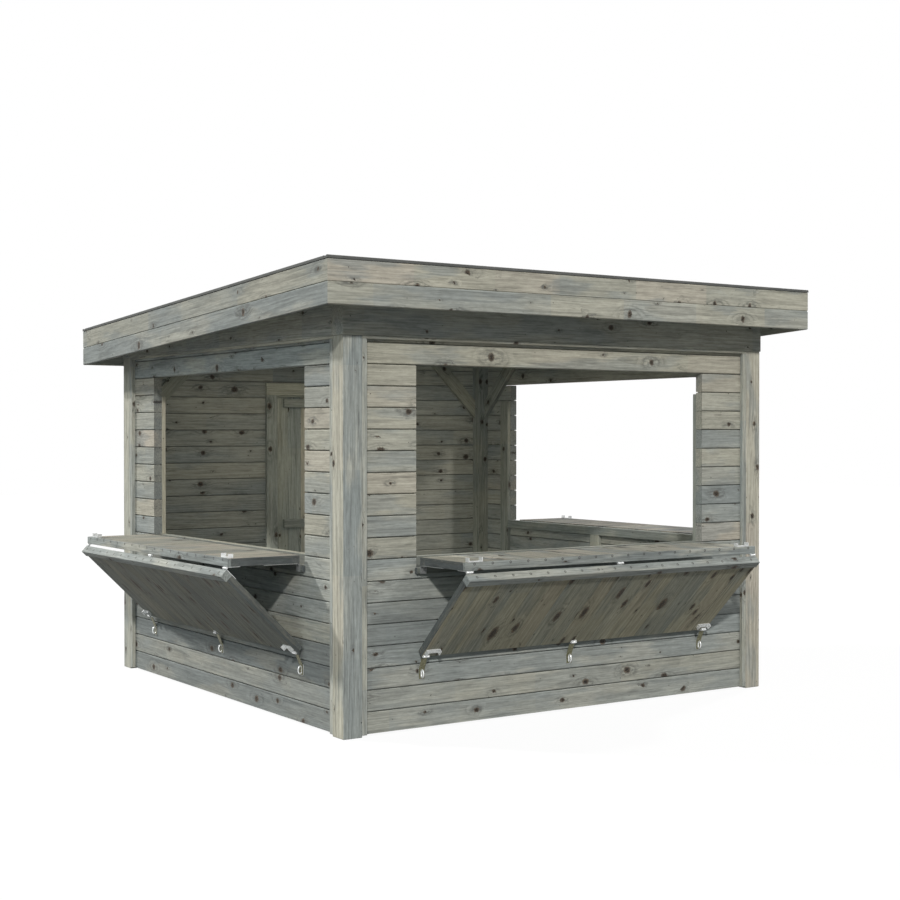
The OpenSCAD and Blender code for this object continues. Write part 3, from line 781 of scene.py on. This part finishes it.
brace = {"width": 0.095, "thick": 0.034, "arris": 0.0025, "tones": (0.3, 0.8)}
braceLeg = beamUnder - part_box("knee_braces")[0].z
braceInner = braceLeg - brace["width"] * math.sqrt(2)
braceCorners = {(0, 0): (0, -braceLeg), (0, 1): (0, -braceInner),
                (1, 1): (braceInner, 0), (1, 0): (braceLeg, 0)}
braceParts = []
for wall in wallTurn:
    for end in (-1, 1):
        obj = blockOf((0, 0, 0), (1, brace["thick"], 1))
        for v in obj.data.vertices:
            x, z = braceCorners[(round(v.co.x), round(v.co.z))]
            v.co.x, v.co.z = end * (clearHalf - x), beamUnder + z
            v.co.y += plankIn
        if end > 0:
            obj.data.flip_normals()
        bevelEdges(obj, anyEdge, brace["arris"])
        setGrain(obj, (-end, 0, 1), (end, 0, 1), dice.uniform(*brace["tones"]))
        braceParts += placed([obj], wallFrame(wall))
joined("knee_brace_timbers", braceParts, innerWood, ["knee_braces"])

trimLow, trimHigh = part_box("corner_trims")
trimParts, headParts = [], []
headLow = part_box("head_trims")[0].z
for wall in wallTurn:
    for end in (-1, 1):
        x0, x1 = span(end, clearHalf - framing["trimW"], clearHalf)
        trim = timber((x0, 0, trimLow.z), (x1, plankOut, trimHigh.z), "z", framing["trimArris"],
                      framing["trimTone"])
        trimParts += placed([trim], wallFrame(wall))
    # the head trims' pale headTone and headShade above 1: partly the strip's paler stain, partly painted
    # light under the eave
    trim = timber((-clearHalf, 0, headLow), (clearHalf, plankOut, beamUnder), "x", framing["trimArris"],
                  framing["headTone"], framing["headShade"])
    headParts += placed([trim], wallFrame(wall))
joined("corner_trim_strips", trimParts, frameWood, ["corner_trims"])
joined("head_trim_strips", headParts, frameWood, ["head_trims"])

# studs, sill rails and ledgers
studs = {"thick": 0.028, "arris": 0.002, "ledgerTrim": 0.030, "ledgerTone": 0.1, "ledgerShade": 0.55,
         "corner": 0.085, "cornerTone": 0.4, "railPaintedShadow": 0.65}
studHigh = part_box("wall_studs")[1]
studTop = studHigh.z
studW = studHigh.y - planCentre.y - hatchHalf
railLow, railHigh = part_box("sill_rails")
ledgerLow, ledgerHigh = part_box("hatch_ledgers")
studIn = plankIn + studs["thick"]
railOut = railLow.y - postLow.y
ledgerOut = ledgerLow.y - postLow.y
ledgerHalf = ledgerHigh.y - planCentre.y - studs["ledgerTrim"]
studParts, railParts, ledgerParts = [], [], []
for wall in hatchWalls:
    uprights = [(*span(end, hatchHalf, hatchHalf + studW), studTop) for end in (-1, 1)]
    for x0, x1, top in uprights + [(-studW / 2, studW / 2, sillTop)]:
        stud = timber((x0, plankIn, wallFoot), (x1, studIn, top), "z", studs["arris"])
        studParts += placed([stud], wallFrame(wall))
    rail = timber((-hatchHalf, railOut, sillTop), (hatchHalf, studIn, railHigh.z), "x", studs["arris"])
    # the rail's outer face takes the dark end colour as painted shadow under the counter
    paintShadeOnFaces(rail, lambda normal: normal.y < -grainRule["endSlope"], studs["railPaintedShadow"])
    railParts += placed([rail], wallFrame(wall))
    # the ledgers' dark tone and low shade are painted shadow under the counter; their ends take the dark end
    # colour, end grain and painted shade
    ledger = timber((-ledgerHalf, ledgerOut, ledgerLow.z), (ledgerHalf, plankOut, ledgerHigh.z), "x",
                    studs["arris"], studs["ledgerTone"], studs["ledgerShade"], ends=1.0)
    ledgerParts += placed([ledger], wallFrame(wall))
cornerParts = []
insideX, insideY = stallHalf["x"] - plankIn, stallHalf["y"] - plankIn
for x in (-1, 1):
    for y in (-1, 1):
        x0, x1 = span(x, insideX - studs["corner"], insideX)
        y0, y1 = (planCentre.y + v for v in span(y, insideY - studs["corner"], insideY))
        cornerParts.append(timber((x0, y0, wallFoot), (x1, y1, beamUnder), "z", studs["arris"],
                                  studs["cornerTone"]))
joined("corner_stud_timbers", cornerParts, innerWood)
joined("wall_stud_timbers", studParts, innerWood, ["wall_studs"])
joined("sill_rail_timbers", railParts, innerWood, ["sill_rails"])
joined("hatch_ledger_timbers", ledgerParts, innerWood, ["hatch_ledgers"])
print("stall: frame and trims ready")

# roof: rafters, boards, felt, fascias and edge profile
roof = {"rafterW": 0.045, "rafterH": 0.095, "arris": 0.002, "bays": 4,
        "deckT": 0.020, "boardW": 0.1145, "deckChamfer": 0.003,
        "fasciaT": 0.020, "fasciaBoard": 0.115, "fasciaChamfer": 0.0040, "lift": 0.0002,
        "feltT": 0.0035, "feltSheets": 4, "feltLap": 0.09, "feltArris": 0.0008,
        "edgeH": 0.016, "edgeW": 0.040, "edgeRound": 0.005, "flange": 0.006,
        "fasciaLooks": {"front": ((0.78, 0.50), 1.02), "right": ((0.70, 0.45), 1.0),
                        "back": ((0.60, 0.55), 1.0), "left": ((0.45, 0.20), 0.80)}}
deckHalf = deckHigh.x
rafterXs = [-deckHalf, deckHalf - roof["rafterW"]]
sideX = stallHalf["x"] - roof["rafterW"]
rafterBay = 2 * sideX / roof["bays"]
rafterXs += [-sideX + k * rafterBay - roof["rafterW"] / 2 for k in range(roof["bays"] + 1)]
deckUnder = frontTop - roof["deckT"]
rafterParts = [timber((x, deckLow.y, deckUnder - roof["rafterH"]),
                      (x + roof["rafterW"], deckHigh.y, deckUnder), "y", roof["arris"]) for x in rafterXs]
joined("rafter_timbers", sloped(rafterParts), innerWood, ["roof_rafters"])

deckParts = []
deckCount = round((deckHigh.y - deckLow.y) / roof["boardW"])
for y0, y1 in strips(deckLow.y, deckHigh.y, deckCount):
    deckParts.append(groovedBoard((-deckHalf, y0, deckUnder), (deckHalf, y1, frontTop), "x",
                                  [(1, y0), (1, y1)], roof["deckChamfer"]))
joined("roof_deck_boards", sloped(deckParts), innerWood, ["roof_deck"])


def atEaves(parts, side, run):
    # from X along the wall, Y inwards from the eaves and Z up from the fascia's top
    eaves = Matrix.Translation((0, planCentre.y, frontTop)) @ turnOf(side) @ Matrix.Translation((0, -run, 0))
    return sloped(placed(parts, eaves))


def fasciaBoards(side, half, run):
    # two boards one over the other with mitred ends
    tones, shade = roof["fasciaLooks"][side]
    made = []
    for row, tone in enumerate(tones):
        high = -row * roof["fasciaBoard"]
        obj = blockOf((-half, 0, high - roof["fasciaBoard"]), (half, roof["fasciaT"], high))
        for v in obj.data.vertices:
            if v.co.y > roof["fasciaT"] / 2:
                v.co.x -= math.copysign(roof["fasciaT"], v.co.x)
        bevelEdges(obj, lambda a, b: abs(a.x - b.x) > longEdge, roof["fasciaChamfer"])
        setGrain(obj, (1, 0, 0), (0, 0, 1), tone, shade)
        made.append(obj)
    return atEaves(made, side, run)


eaveX = fasciaHigh.x
eaveY = planCentre.y - frontEdge
sideBoards = []
for side in wallTurn:
    if side in ("front", "back"):
        joined(side + "_fascia_boards", fasciaBoards(side, eaveX, eaveY), fasciaWood, [side + "_fascia"])
    else:
        sideBoards += fasciaBoards(side, eaveY, eaveX)
joined("side_fascia_boards", sideBoards, fasciaWood, ["side_fascias"])

feltLow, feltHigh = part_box("roof_felt")
feltParts = []
sheetRun = (feltHigh.y - feltLow.y) / roof["feltSheets"]
for k in range(roof["feltSheets"]):
    y0 = feltLow.y + k * sheetRun
    y1 = min(y0 + sheetRun + roof["feltLap"], feltHigh.y)
    obj = blockOf((feltLow.x, y0, frontTop + roof["lift"]), (feltHigh.x, y1, frontTop + roof["feltT"]))
    for v in obj.data.vertices:
        if v.co.y < (y0 + y1) / 2 and k > 0:
            v.co.z += roof["feltT"]
    bevelEdges(obj, anyEdge, roof["feltArris"])
    feltParts.append(obj)
joined("roof_felt_sheets", sloped(feltParts), roofFelt, ["roof_felt"])


def edgeStrip(side, half, run):
    # folded profile: upright face, rounded top, flat flange
    obj = blockOf((-half, 0, roof["lift"]), (half, roof["edgeW"], roof["edgeH"]))
    middle = roof["edgeW"] / 2
    bevelEdges(obj, lambda a, b: min(a.z, b.z) > close and abs(a.x - b.x) > longEdge and a.y < middle,
               roof["edgeRound"], 3)
    for v in obj.data.vertices:
        if v.co.y > middle and v.co.z > roof["flange"]:
            v.co.z = roof["flange"]
    return atEaves([obj], side, run)


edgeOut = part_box("eaves_trims")[1].x - eaveX
eavesParts, vergeParts = [], []
for side in wallTurn:
    if side in ("front", "back"):
        eavesParts += edgeStrip(side, eaveX + edgeOut, eaveY + edgeOut)
    else:
        vergeParts += edgeStrip(side, eaveY + edgeOut - roof["edgeW"], eaveX + edgeOut)
joined("eaves_edge_profile", eavesParts, edgeProfile, ["eaves_trims"])
joined("verge_edge_profile", vergeParts, edgeProfile, ["verge_trims"])
print("stall: roof ready")

# serving hatches
hatch = {"boardT": 0.015, "batten": 0.045, "strip": 0.022, "boards": 18, "groove": 0.0016, "arris": 0.0018,
         "flapT": 0.050, "railProud": 0.008, "screwEvery": 0.112, "screwR": 0.0072, "screwH": 0.0016,
         "screwSunk": 0.0009, "screwDrop": 0.0085, "bays": 4,
         "stripLooks": (0.15, 1.06), "railLooks": (0.12, 0.90), "counterLooks": (0.92, 1.06, 0.45, 1.0),
         "counterShade": {"front": 1.07, "right": 0.85, "left": 0.92},
         "flapLooks": {"front": (0.85, 1.02, 0.30, 0.85), "right": (0.90, 1.06, 0.30, 0.85),
                       "left": (0.42, 0.55, 0.0, 0.35)}}
counterUnder, counterTop = counterLow.z, counterHigh.z
counterFront = counterLow.y - postLow.y
counterBack = counterHigh.y - postLow.y
leafOff = counterUnder - sillAxis.z
foldGap = counterFront - foldY
flapEnd = lintelUnder - leafGap - sillAxis.z - (sillAxis.y - foldAxis.y)
flapOuter = leafOff + hatch["flapT"]
flapFace = flapOuter - hatch["railProud"]
bay = (2 * leafHalf - hatch["batten"]) / hatch["bays"]


# head of a screw or bolt: sides, eased share of its depth, drive's share of its radius
head = {"sides": 12, "rim": 0.3, "drive": 0.45}


def headProto(radius, depth, recess):
    # round head with an eased rim and a sunk drive
    obj = added(bpy.ops.mesh.primitive_cylinder_add, vertices=head["sides"], radius=radius, depth=depth)
    bevelEdges(obj, lambda a, b: a.z > 0 and b.z > 0, depth * head["rim"])
    selectFaces(obj, lambda face: face.normal.z > facing)
    bpy.ops.mesh.inset(thickness=radius * head["drive"])
    bpy.ops.transform.translate(value=(0, 0, -recess))
    bpy.ops.object.mode_set(mode="OBJECT")
    return obj


def headCopy(proto, matrix):
    obj = bpy.data.objects.new("head", proto.data.copy())
    bpy.context.scene.collection.objects.link(obj)
    obj.data.transform(matrix)
    return obj


def screwRow(matrixOf):
    count = round(2 * leafHalf / hatch["screwEvery"])
    return [headCopy(screw, matrixOf(-leafHalf + (k + 0.5) * 2 * leafHalf / count)) for k in range(count)]


def leafBoards(y0, y1, low, high, looks, share=1.0):
    # boards across a leaf, side by side; the outer two get painted shade on their sides
    shadeLow, shadeHigh, toneLow, toneHigh = looks
    made = []
    for x0, x1 in strips(-leafHalf, leafHalf, hatch["boards"]):
        tone, shade = dice.uniform(toneLow, toneHigh), dice.uniform(shadeLow * share, shadeHigh * share)
        made.append(groovedBoard((x0, y0, low), (x1, y1, high), "y", [(0, x0), (0, x1)], hatch["groove"],
                                 0.0, tone, shade))
    for end in (made[0], made[-1]):
        paintShadeOnSides(end)
    return made


def crossBattens(y0, y1, low, high):
    # battens under the boards; the outer two get painted shade on their sides
    made = []
    for k in range(hatch["bays"] + 1):
        x = -leafHalf + k * bay
        made.append(timber((x, y0, low), (x + hatch["batten"], y1, high), "y", hatch["arris"]))
    for end in (made[0], made[-1]):
        paintShadeOnSides(end)
    return made


def crossRail(y0, y1, low, high, arris=hatch["arris"], looks=(None, 1.0), ends=0.0):
    # timber from end to end of a leaf
    return timber((-leafHalf, y0, low), (leafHalf, y1, high), "x", arris, *looks, ends=ends)


screw = headProto(hatch["screwR"], hatch["screwH"], hatch["screwSunk"])
turnOut = Matrix.Rotation(math.radians(90), 4, "X")
for wall in hatchWalls:
    place, tilt = wallFrame(wall), flapFrame(wall)
    # counter: boards across a frame, with a strip along the outer edge
    boardLow = counterTop - hatch["boardT"]
    inner = counterFront + hatch["strip"]
    rim = hatch["batten"]
    # counterShade lightens the front counter's top and darkens the right and left ones: painted light and
    # painted shade against the light each gets
    parts = leafBoards(inner, counterBack, boardLow, counterTop, hatch["counterLooks"],
                       hatch["counterShade"][wall])
    parts.append(crossRail(counterFront, inner, counterUnder, counterTop, looks=hatch["stripLooks"]))
    # the inner and back rails take the dark end colour on their ends: end grain's own colour and painted
    # shade
    parts.append(crossRail(inner, inner + rim, counterUnder, boardLow, ends=1.0))
    parts.append(crossRail(counterBack - rim, counterBack, counterUnder, boardLow, ends=1.0))
    parts += crossBattens(inner + rim, counterBack - rim, counterUnder, boardLow)
    joined(wall + "_counter_boards", placed(parts, place), hatchWood, [wall + "_counter"], wall + "_counter")
    screwY, screwZ = counterFront, counterTop - hatch["screwDrop"]
    screws = screwRow(lambda x: place @ Matrix.Translation((x, screwY, screwZ)) @ turnOut)
    joined(wall + "_counter_screws", screws, screwHead, body=wall + "_counter")
    # flap: boards from the fold to the free edge, on a frame, with a proud rail along the fold
    boardFoot = flapFace - hatch["boardT"]
    railEnd = foldGap + rim
    # the left flap's low shade and blue tone: painted shade against the fill light from the left, partly the
    # boards' own bluer stain
    parts = leafBoards(railEnd, flapEnd, boardFoot, flapFace, hatch["flapLooks"][wall])
    rail = crossRail(foldGap, railEnd, leafOff, flapOuter, looks=hatch["railLooks"])
    joined(wall + "_flap_rail", placed([rail], tilt), frameWood, body=wall + "_flap", slot="hatch_wood")
    # the end rail takes the dark end colour on its ends: end grain's own colour and painted shade
    parts.append(crossRail(flapEnd - rim, flapEnd, leafOff, boardFoot, 2 * hatch["arris"], ends=1.0))
    parts += crossBattens(railEnd, flapEnd - rim, leafOff, boardFoot)
    joined(wall + "_flap_boards", placed(parts, tilt), flapWood, [wall + "_flap"], wall + "_flap")
    screws = screwRow(lambda x: tilt @ Matrix.Translation((x, foldGap, (leafOff + flapOuter) / 2)) @ turnOut)
    joined(wall + "_flap_screws", screws, screwHead, body=wall + "_flap")
print("stall: hatches ready")

# latches on the walls: plate and oval staple, with the bent hasp over it
latch = {"plateW": 0.034, "plateH": 0.060, "thick": 0.003, "haspW": 0.036, "haspUp": 0.086, "haspDown": 0.028,
         "haspOut": 0.030, "bend": 0.023, "slotW": 0.012, "slotEnd": 0.020, "inset": 0.025,
         "ease": 0.0007, "plateRound": 0.004,
         "stapleR": 0.0165, "wire": 0.0040, "stapleTall": 1.25, "stapleFlat": 0.8, "stapleSunk": 0.5}
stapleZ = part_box("hatch_latches")[0].z + latch["plateH"] / 2


def hasp():
    # strap folded out at the bend, with a slot for the staple
    t, half = latch["thick"], latch["haspW"] / 2
    obj = blockOf((-half, -2 * t, -latch["haspDown"]), (half, -t, latch["bend"]))
    selectFaces(obj, lambda face: face.normal.z > facing)
    bpy.ops.mesh.extrude_region_move(TRANSFORM_OT_translate={
        "value": (0, t - latch["haspOut"], latch["haspUp"] - latch["bend"])})
    bpy.ops.object.mode_set(mode="OBJECT")
    cutHalf, cutEnd = latch["slotW"] / 2, latch["slotEnd"]
    cutter = blockOf((-cutHalf, -3 * t, -cutEnd), (cutHalf, 0, cutEnd))
    makeActive(obj)
    slot = obj.modifiers.new("slot", "BOOLEAN")
    slot.object = cutter
    slot.solver = "EXACT"
    bpy.ops.object.modifier_apply(modifier="slot")
    bpy.data.objects.remove(cutter)
    ease = obj.modifiers.new("ease", "BEVEL")
    ease.width = latch["ease"]
    ease.segments = 1
    bpy.ops.object.modifier_apply(modifier="ease")
    return obj


def staple():
    # oval loop that stands out of its plate
    ring = added(bpy.ops.mesh.primitive_torus_add, major_segments=20, minor_segments=8,
                 major_radius=latch["stapleR"], minor_radius=latch["wire"], rotation=(0, math.radians(90), 0))
    ring.scale = (latch["stapleTall"], latch["stapleFlat"], 1)
    ring.location = (0, -latch["thick"] - latch["stapleR"] * latch["stapleSunk"], 0)
    bpy.ops.object.transform_apply(location=True, rotation=True, scale=True)
    bpy.ops.object.shade_smooth()
    plate = blockOf((-latch["plateW"] / 2, -latch["thick"], -latch["plateH"] / 2),
                    (latch["plateW"] / 2, 0, latch["plateH"] / 2))
    bevelEdges(plate, lambda a, b: abs(a.y - b.y) > 0.001, latch["plateRound"], 2)
    return [ring, plate]


haspParts, stapleParts = [], []
for wall in hatchWalls:
    for x in (latch["inset"] - leafHalf, 0, leafHalf - latch["inset"]):
        spot = wallFrame(wall) @ Matrix.Translation((x, plankOut, stapleZ))
        haspParts += placed([hasp()], spot)
        stapleParts += placed(staple(), spot)
joined("hatch_latch_hasps", haspParts, shadedStrap, ["hatch_latches"])
joined("hatch_latch_staples", stapleParts, zincPlate)
print("stall: latches ready")

# door: upright boards on ledgers, jambs and head with stops, inner casing
door = {"boardW": 0.1075, "groove": 0.0025, "arris": 0.002, "ledgerH": 0.062, "stop": 0.012, "stopGap": 0.006,
        "boltR": 0.0075, "boltH": 0.005, "boltSunk": 0.0008, "bolts": (0.06, 0.20, 0.34), "strapT": 0.003,
        "ledgerTone": 0.2, "ledgerShade": 0.78,
        "casingTone": 0.3, "casingShade": 0.85}
leafLow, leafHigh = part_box("door_leaf")
backFace = farPostHigh.y
doorOut, doorIn = backFace - leafHigh.y, backFace - leafLow.y
doorHalf = leafHigh.x
atBack = wallFrame("back")
count = round(2 * doorHalf / door["boardW"])
parts = []
for x0, x1 in strips(-doorHalf, doorHalf, count):
    parts.append(groovedBoard((x0, doorOut, leafLow.z), (x1, doorIn, leafHigh.z), "z", [(0, x0), (0, x1)],
                              door["groove"]))
joined("door_boards", placed(parts, atBack), doorWood, ["door_leaf"], "door")
ledgeLow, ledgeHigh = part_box("door_ledgers")
ledgeHalf, ledgeH = ledgeHigh.x, door["ledgerH"]
parts = []
for z in (ledgeLow.z, (ledgeLow.z + ledgeHigh.z - ledgeH) / 2, ledgeHigh.z - ledgeH):
    parts.append(timber((-ledgeHalf, doorIn, z), (ledgeHalf, backFace - ledgeLow.y, z + ledgeH), "x",
                        door["arris"], door["ledgerTone"], door["ledgerShade"]))
joined("door_ledger_timbers", placed(parts, atBack), doorWood, ["door_ledgers"], "door")
jambLow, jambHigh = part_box("door_jambs")
headBoxLow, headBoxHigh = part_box("door_head")
doorwayHalf = headBoxHigh.x
stopOut = doorIn + door["stopGap"]
stopUnder = headBoxLow.z
headUnder = stopUnder + door["stop"]
parts = []
for end in (-1, 1):
    x0, x1 = span(end, doorwayHalf, jambHigh.x)
    parts.append(timber((x0, 0, jambLow.z), (x1, plankIn, jambHigh.z), "z", door["arris"]))
    x0, x1 = span(end, doorwayHalf, doorwayHalf - door["stop"])
    parts.append(timber((x0, stopOut, jambLow.z), (x1, plankIn, stopUnder), "z", door["arris"]))
joined("door_jamb_timbers", placed(parts, atBack), doorWood, ["door_jambs"])
parts = [timber((-doorwayHalf, 0, headUnder), (doorwayHalf, plankIn, headBoxHigh.z), "x", door["arris"]),
         timber((-doorwayHalf, stopOut, stopUnder), (doorwayHalf, plankIn, headUnder), "x", door["arris"])]
joined("door_head_timber", placed(parts, atBack), doorWood, ["door_head"])
casingLow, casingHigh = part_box("door_casings")
casingIn = backFace - casingLow.y
casingHalf = casingHigh.x
parts = []
for end in (-1, 1):
    x0, x1 = span(end, doorwayHalf, casingHalf)
    parts.append(timber((x0, plankIn, casingLow.z), (x1, casingIn, headUnder), "z", door["arris"],
                        door["casingTone"], door["casingShade"]))
parts.append(timber((-casingHalf, plankIn, headUnder), (casingHalf, casingIn, casingHigh.z), "x",
                    door["arris"]))
joined("door_casing_boards", placed(parts, atBack), doorWood, ["door_casings"])
hingeX = -jointAt["door_swing"].x
bolt = headProto(door["boltR"], door["boltH"], door["boltSunk"])
boltSpots = [(hingeX + x, doorOut - door["strapT"], z + ledgeH / 2)
             for z in (ledgeLow.z, ledgeHigh.z - ledgeH) for x in door["bolts"]]
bolts = [headCopy(bolt, atBack @ Matrix.Translation(spot) @ turnOut) for spot in boltSpots]
joined("door_strap_bolts", bolts, zincPlate, body="door")
for proto in (screw, bolt):
    bpy.data.objects.remove(proto)
print("stall: door ready")

# metal fittings keep their shape from the frame
for name, obj in frame["nodes"].items():
    if "fittings" in name or name in ("hatch_hinges", "hatch_latches", "door_hinges", "door_straps",
                                      "door_handle"):
        obj.data.materials.clear()
        # the sill hinges take the darker zinc, painted shade
        obj.data.materials.append(shadowZinc if name == "hatch_hinges" else zincPlate)

# stage: pale floor, white surroundings, soft lamps
stage = {"floor": 60.0, "paper": (0.9, 0.9, 0.9, 1), "glow": 0.93, "ground": (0.128, 0.128, 0.123, 1),
         "ambient": 0.22, "sky": (0.95, 0.98, 1.0), "lamp": (1.0, 0.985, 0.955), "fill": (0.86, 0.97, 1.0),
         "lampZ": 6, "room": (1.0, 0.96, 0.84), "roomZ": 2.05, "roomSize": 2.2, "roomPower": 11.5}

# azimuth, height, strength, spread, colour, shadow; azimuth 0 shines from the front, 90 from the right
suns = {
    "frontLamp": (-34, 31, 2.40, 3.0, "lamp", True),
    "backLamp": (-140, 37, 2.95, 3.0, "lamp", True),
    "rightLamp": (33, 32, 0.75, 5.0, "lamp", True),
    "sideLamp": (112, 33, 1.70, 5.0, "lamp", True),
    "fillLamp": (-78, 22, 0.52, 20, "fill", True),
    "softLamp": (-45, 15, 0.42, 20, "fill", False),
}


def seenStraight(tree):
    # 1 where the camera, a reflection or glass sees the surface
    path = addNode(tree, "ShaderNodeLightPath").outputs
    seen = mathOf(tree, "MAXIMUM", path["Is Glossy Ray"], path["Is Transmission Ray"])
    return mathOf(tree, "MAXIMUM", path["Is Camera Ray"], seen)


def stageFloor():
    floor = added(bpy.ops.mesh.primitive_plane_add, size=stage["floor"], location=(0, 0, 0))
    floor.name = "floor"
    material, tree, shader = newMaterial("floorPaper")
    tree.nodes.remove(shader)
    paper = addNode(tree, "ShaderNodeBsdfDiffuse", {"Color": stage["paper"]}).outputs[0]
    glow = addNode(tree, "ShaderNodeEmission", {"Color": (1, 1, 1, 1)}).outputs[0]
    shown = addNode(tree, "ShaderNodeMixShader", {0: stage["glow"], 1: paper, 2: glow}).outputs[0]
    ground = addNode(tree, "ShaderNodeBsdfDiffuse", {"Color": stage["ground"]}).outputs[0]
    pick = addNode(tree, "ShaderNodeMixShader", {0: seenStraight(tree), 1: ground, 2: shown}).outputs[0]
    fill(tree, tree.nodes["Material Output"], {"Surface": pick})
    floor.data.materials.append(material)


def surroundings():
    world = bpy.data.worlds.new("studio")
    world.use_nodes = True
    bpy.context.scene.world = world
    tree = world.node_tree
    seen = seenStraight(tree)
    colour = mixOf(tree, seen, (*stage["sky"], 1), (1, 1, 1, 1))
    strength = rangeOf(tree, seen, 0.0, 1.0, stage["ambient"], 1.0, False)
    fill(tree, tree.nodes["Background"], {"Color": colour, "Strength": strength})


def newLamp(kind, name, place, power, colour):
    lamp = added(bpy.ops.object.light_add, type=kind, location=place)
    lamp.name = name
    lamp.data.energy = power
    lamp.data.color = stage[colour]
    return lamp


def sunLamp(name, azimuth, height, strength, spread, colour, shadow):
    lamp = newLamp("SUN", name, (0, 0, stage["lampZ"]), strength, colour)
    azimuth, height = math.radians(azimuth), math.radians(height)
    level = math.cos(height)
    away = Vector((math.sin(azimuth) * level, -math.cos(azimuth) * level, math.sin(height)))
    lamp.rotation_euler = (-away).to_track_quat("-Z", "Y").to_euler()
    lamp.data.angle = math.radians(spread)
    lamp.data.use_shadow = shadow
    return lamp


def keepOff(lamp, *names):
    # as with a flag on a stand, the lamp doesn't reach these pieces
    shaded = bpy.data.collections.new(lamp.name + "Shaded")
    lamp.light_linking.receiver_collection = shaded
    for name in names:
        shaded.objects.link(bpy.data.objects[name])
    for item in shaded.collection_objects:
        item.light_linking.link_state = "EXCLUDE"


def roomLamp():
    # soft light under the roof
    lamp = newLamp("AREA", "roomLamp", (0, planCentre.y, stage["roomZ"]), stage["roomPower"], "room")
    lamp.data.shape = "SQUARE"
    lamp.data.size = stage["roomSize"]
    lamp.visible_camera = False


stageFloor()
surroundings()
lamps = {name: sunLamp(name, *sun) for name, sun in suns.items()}
keepOff(lamps["frontLamp"], "back_wall_boards")
roomLamp()
bpy.context.scene.view_settings.view_transform = "Standard"
print("stall: stage lit")
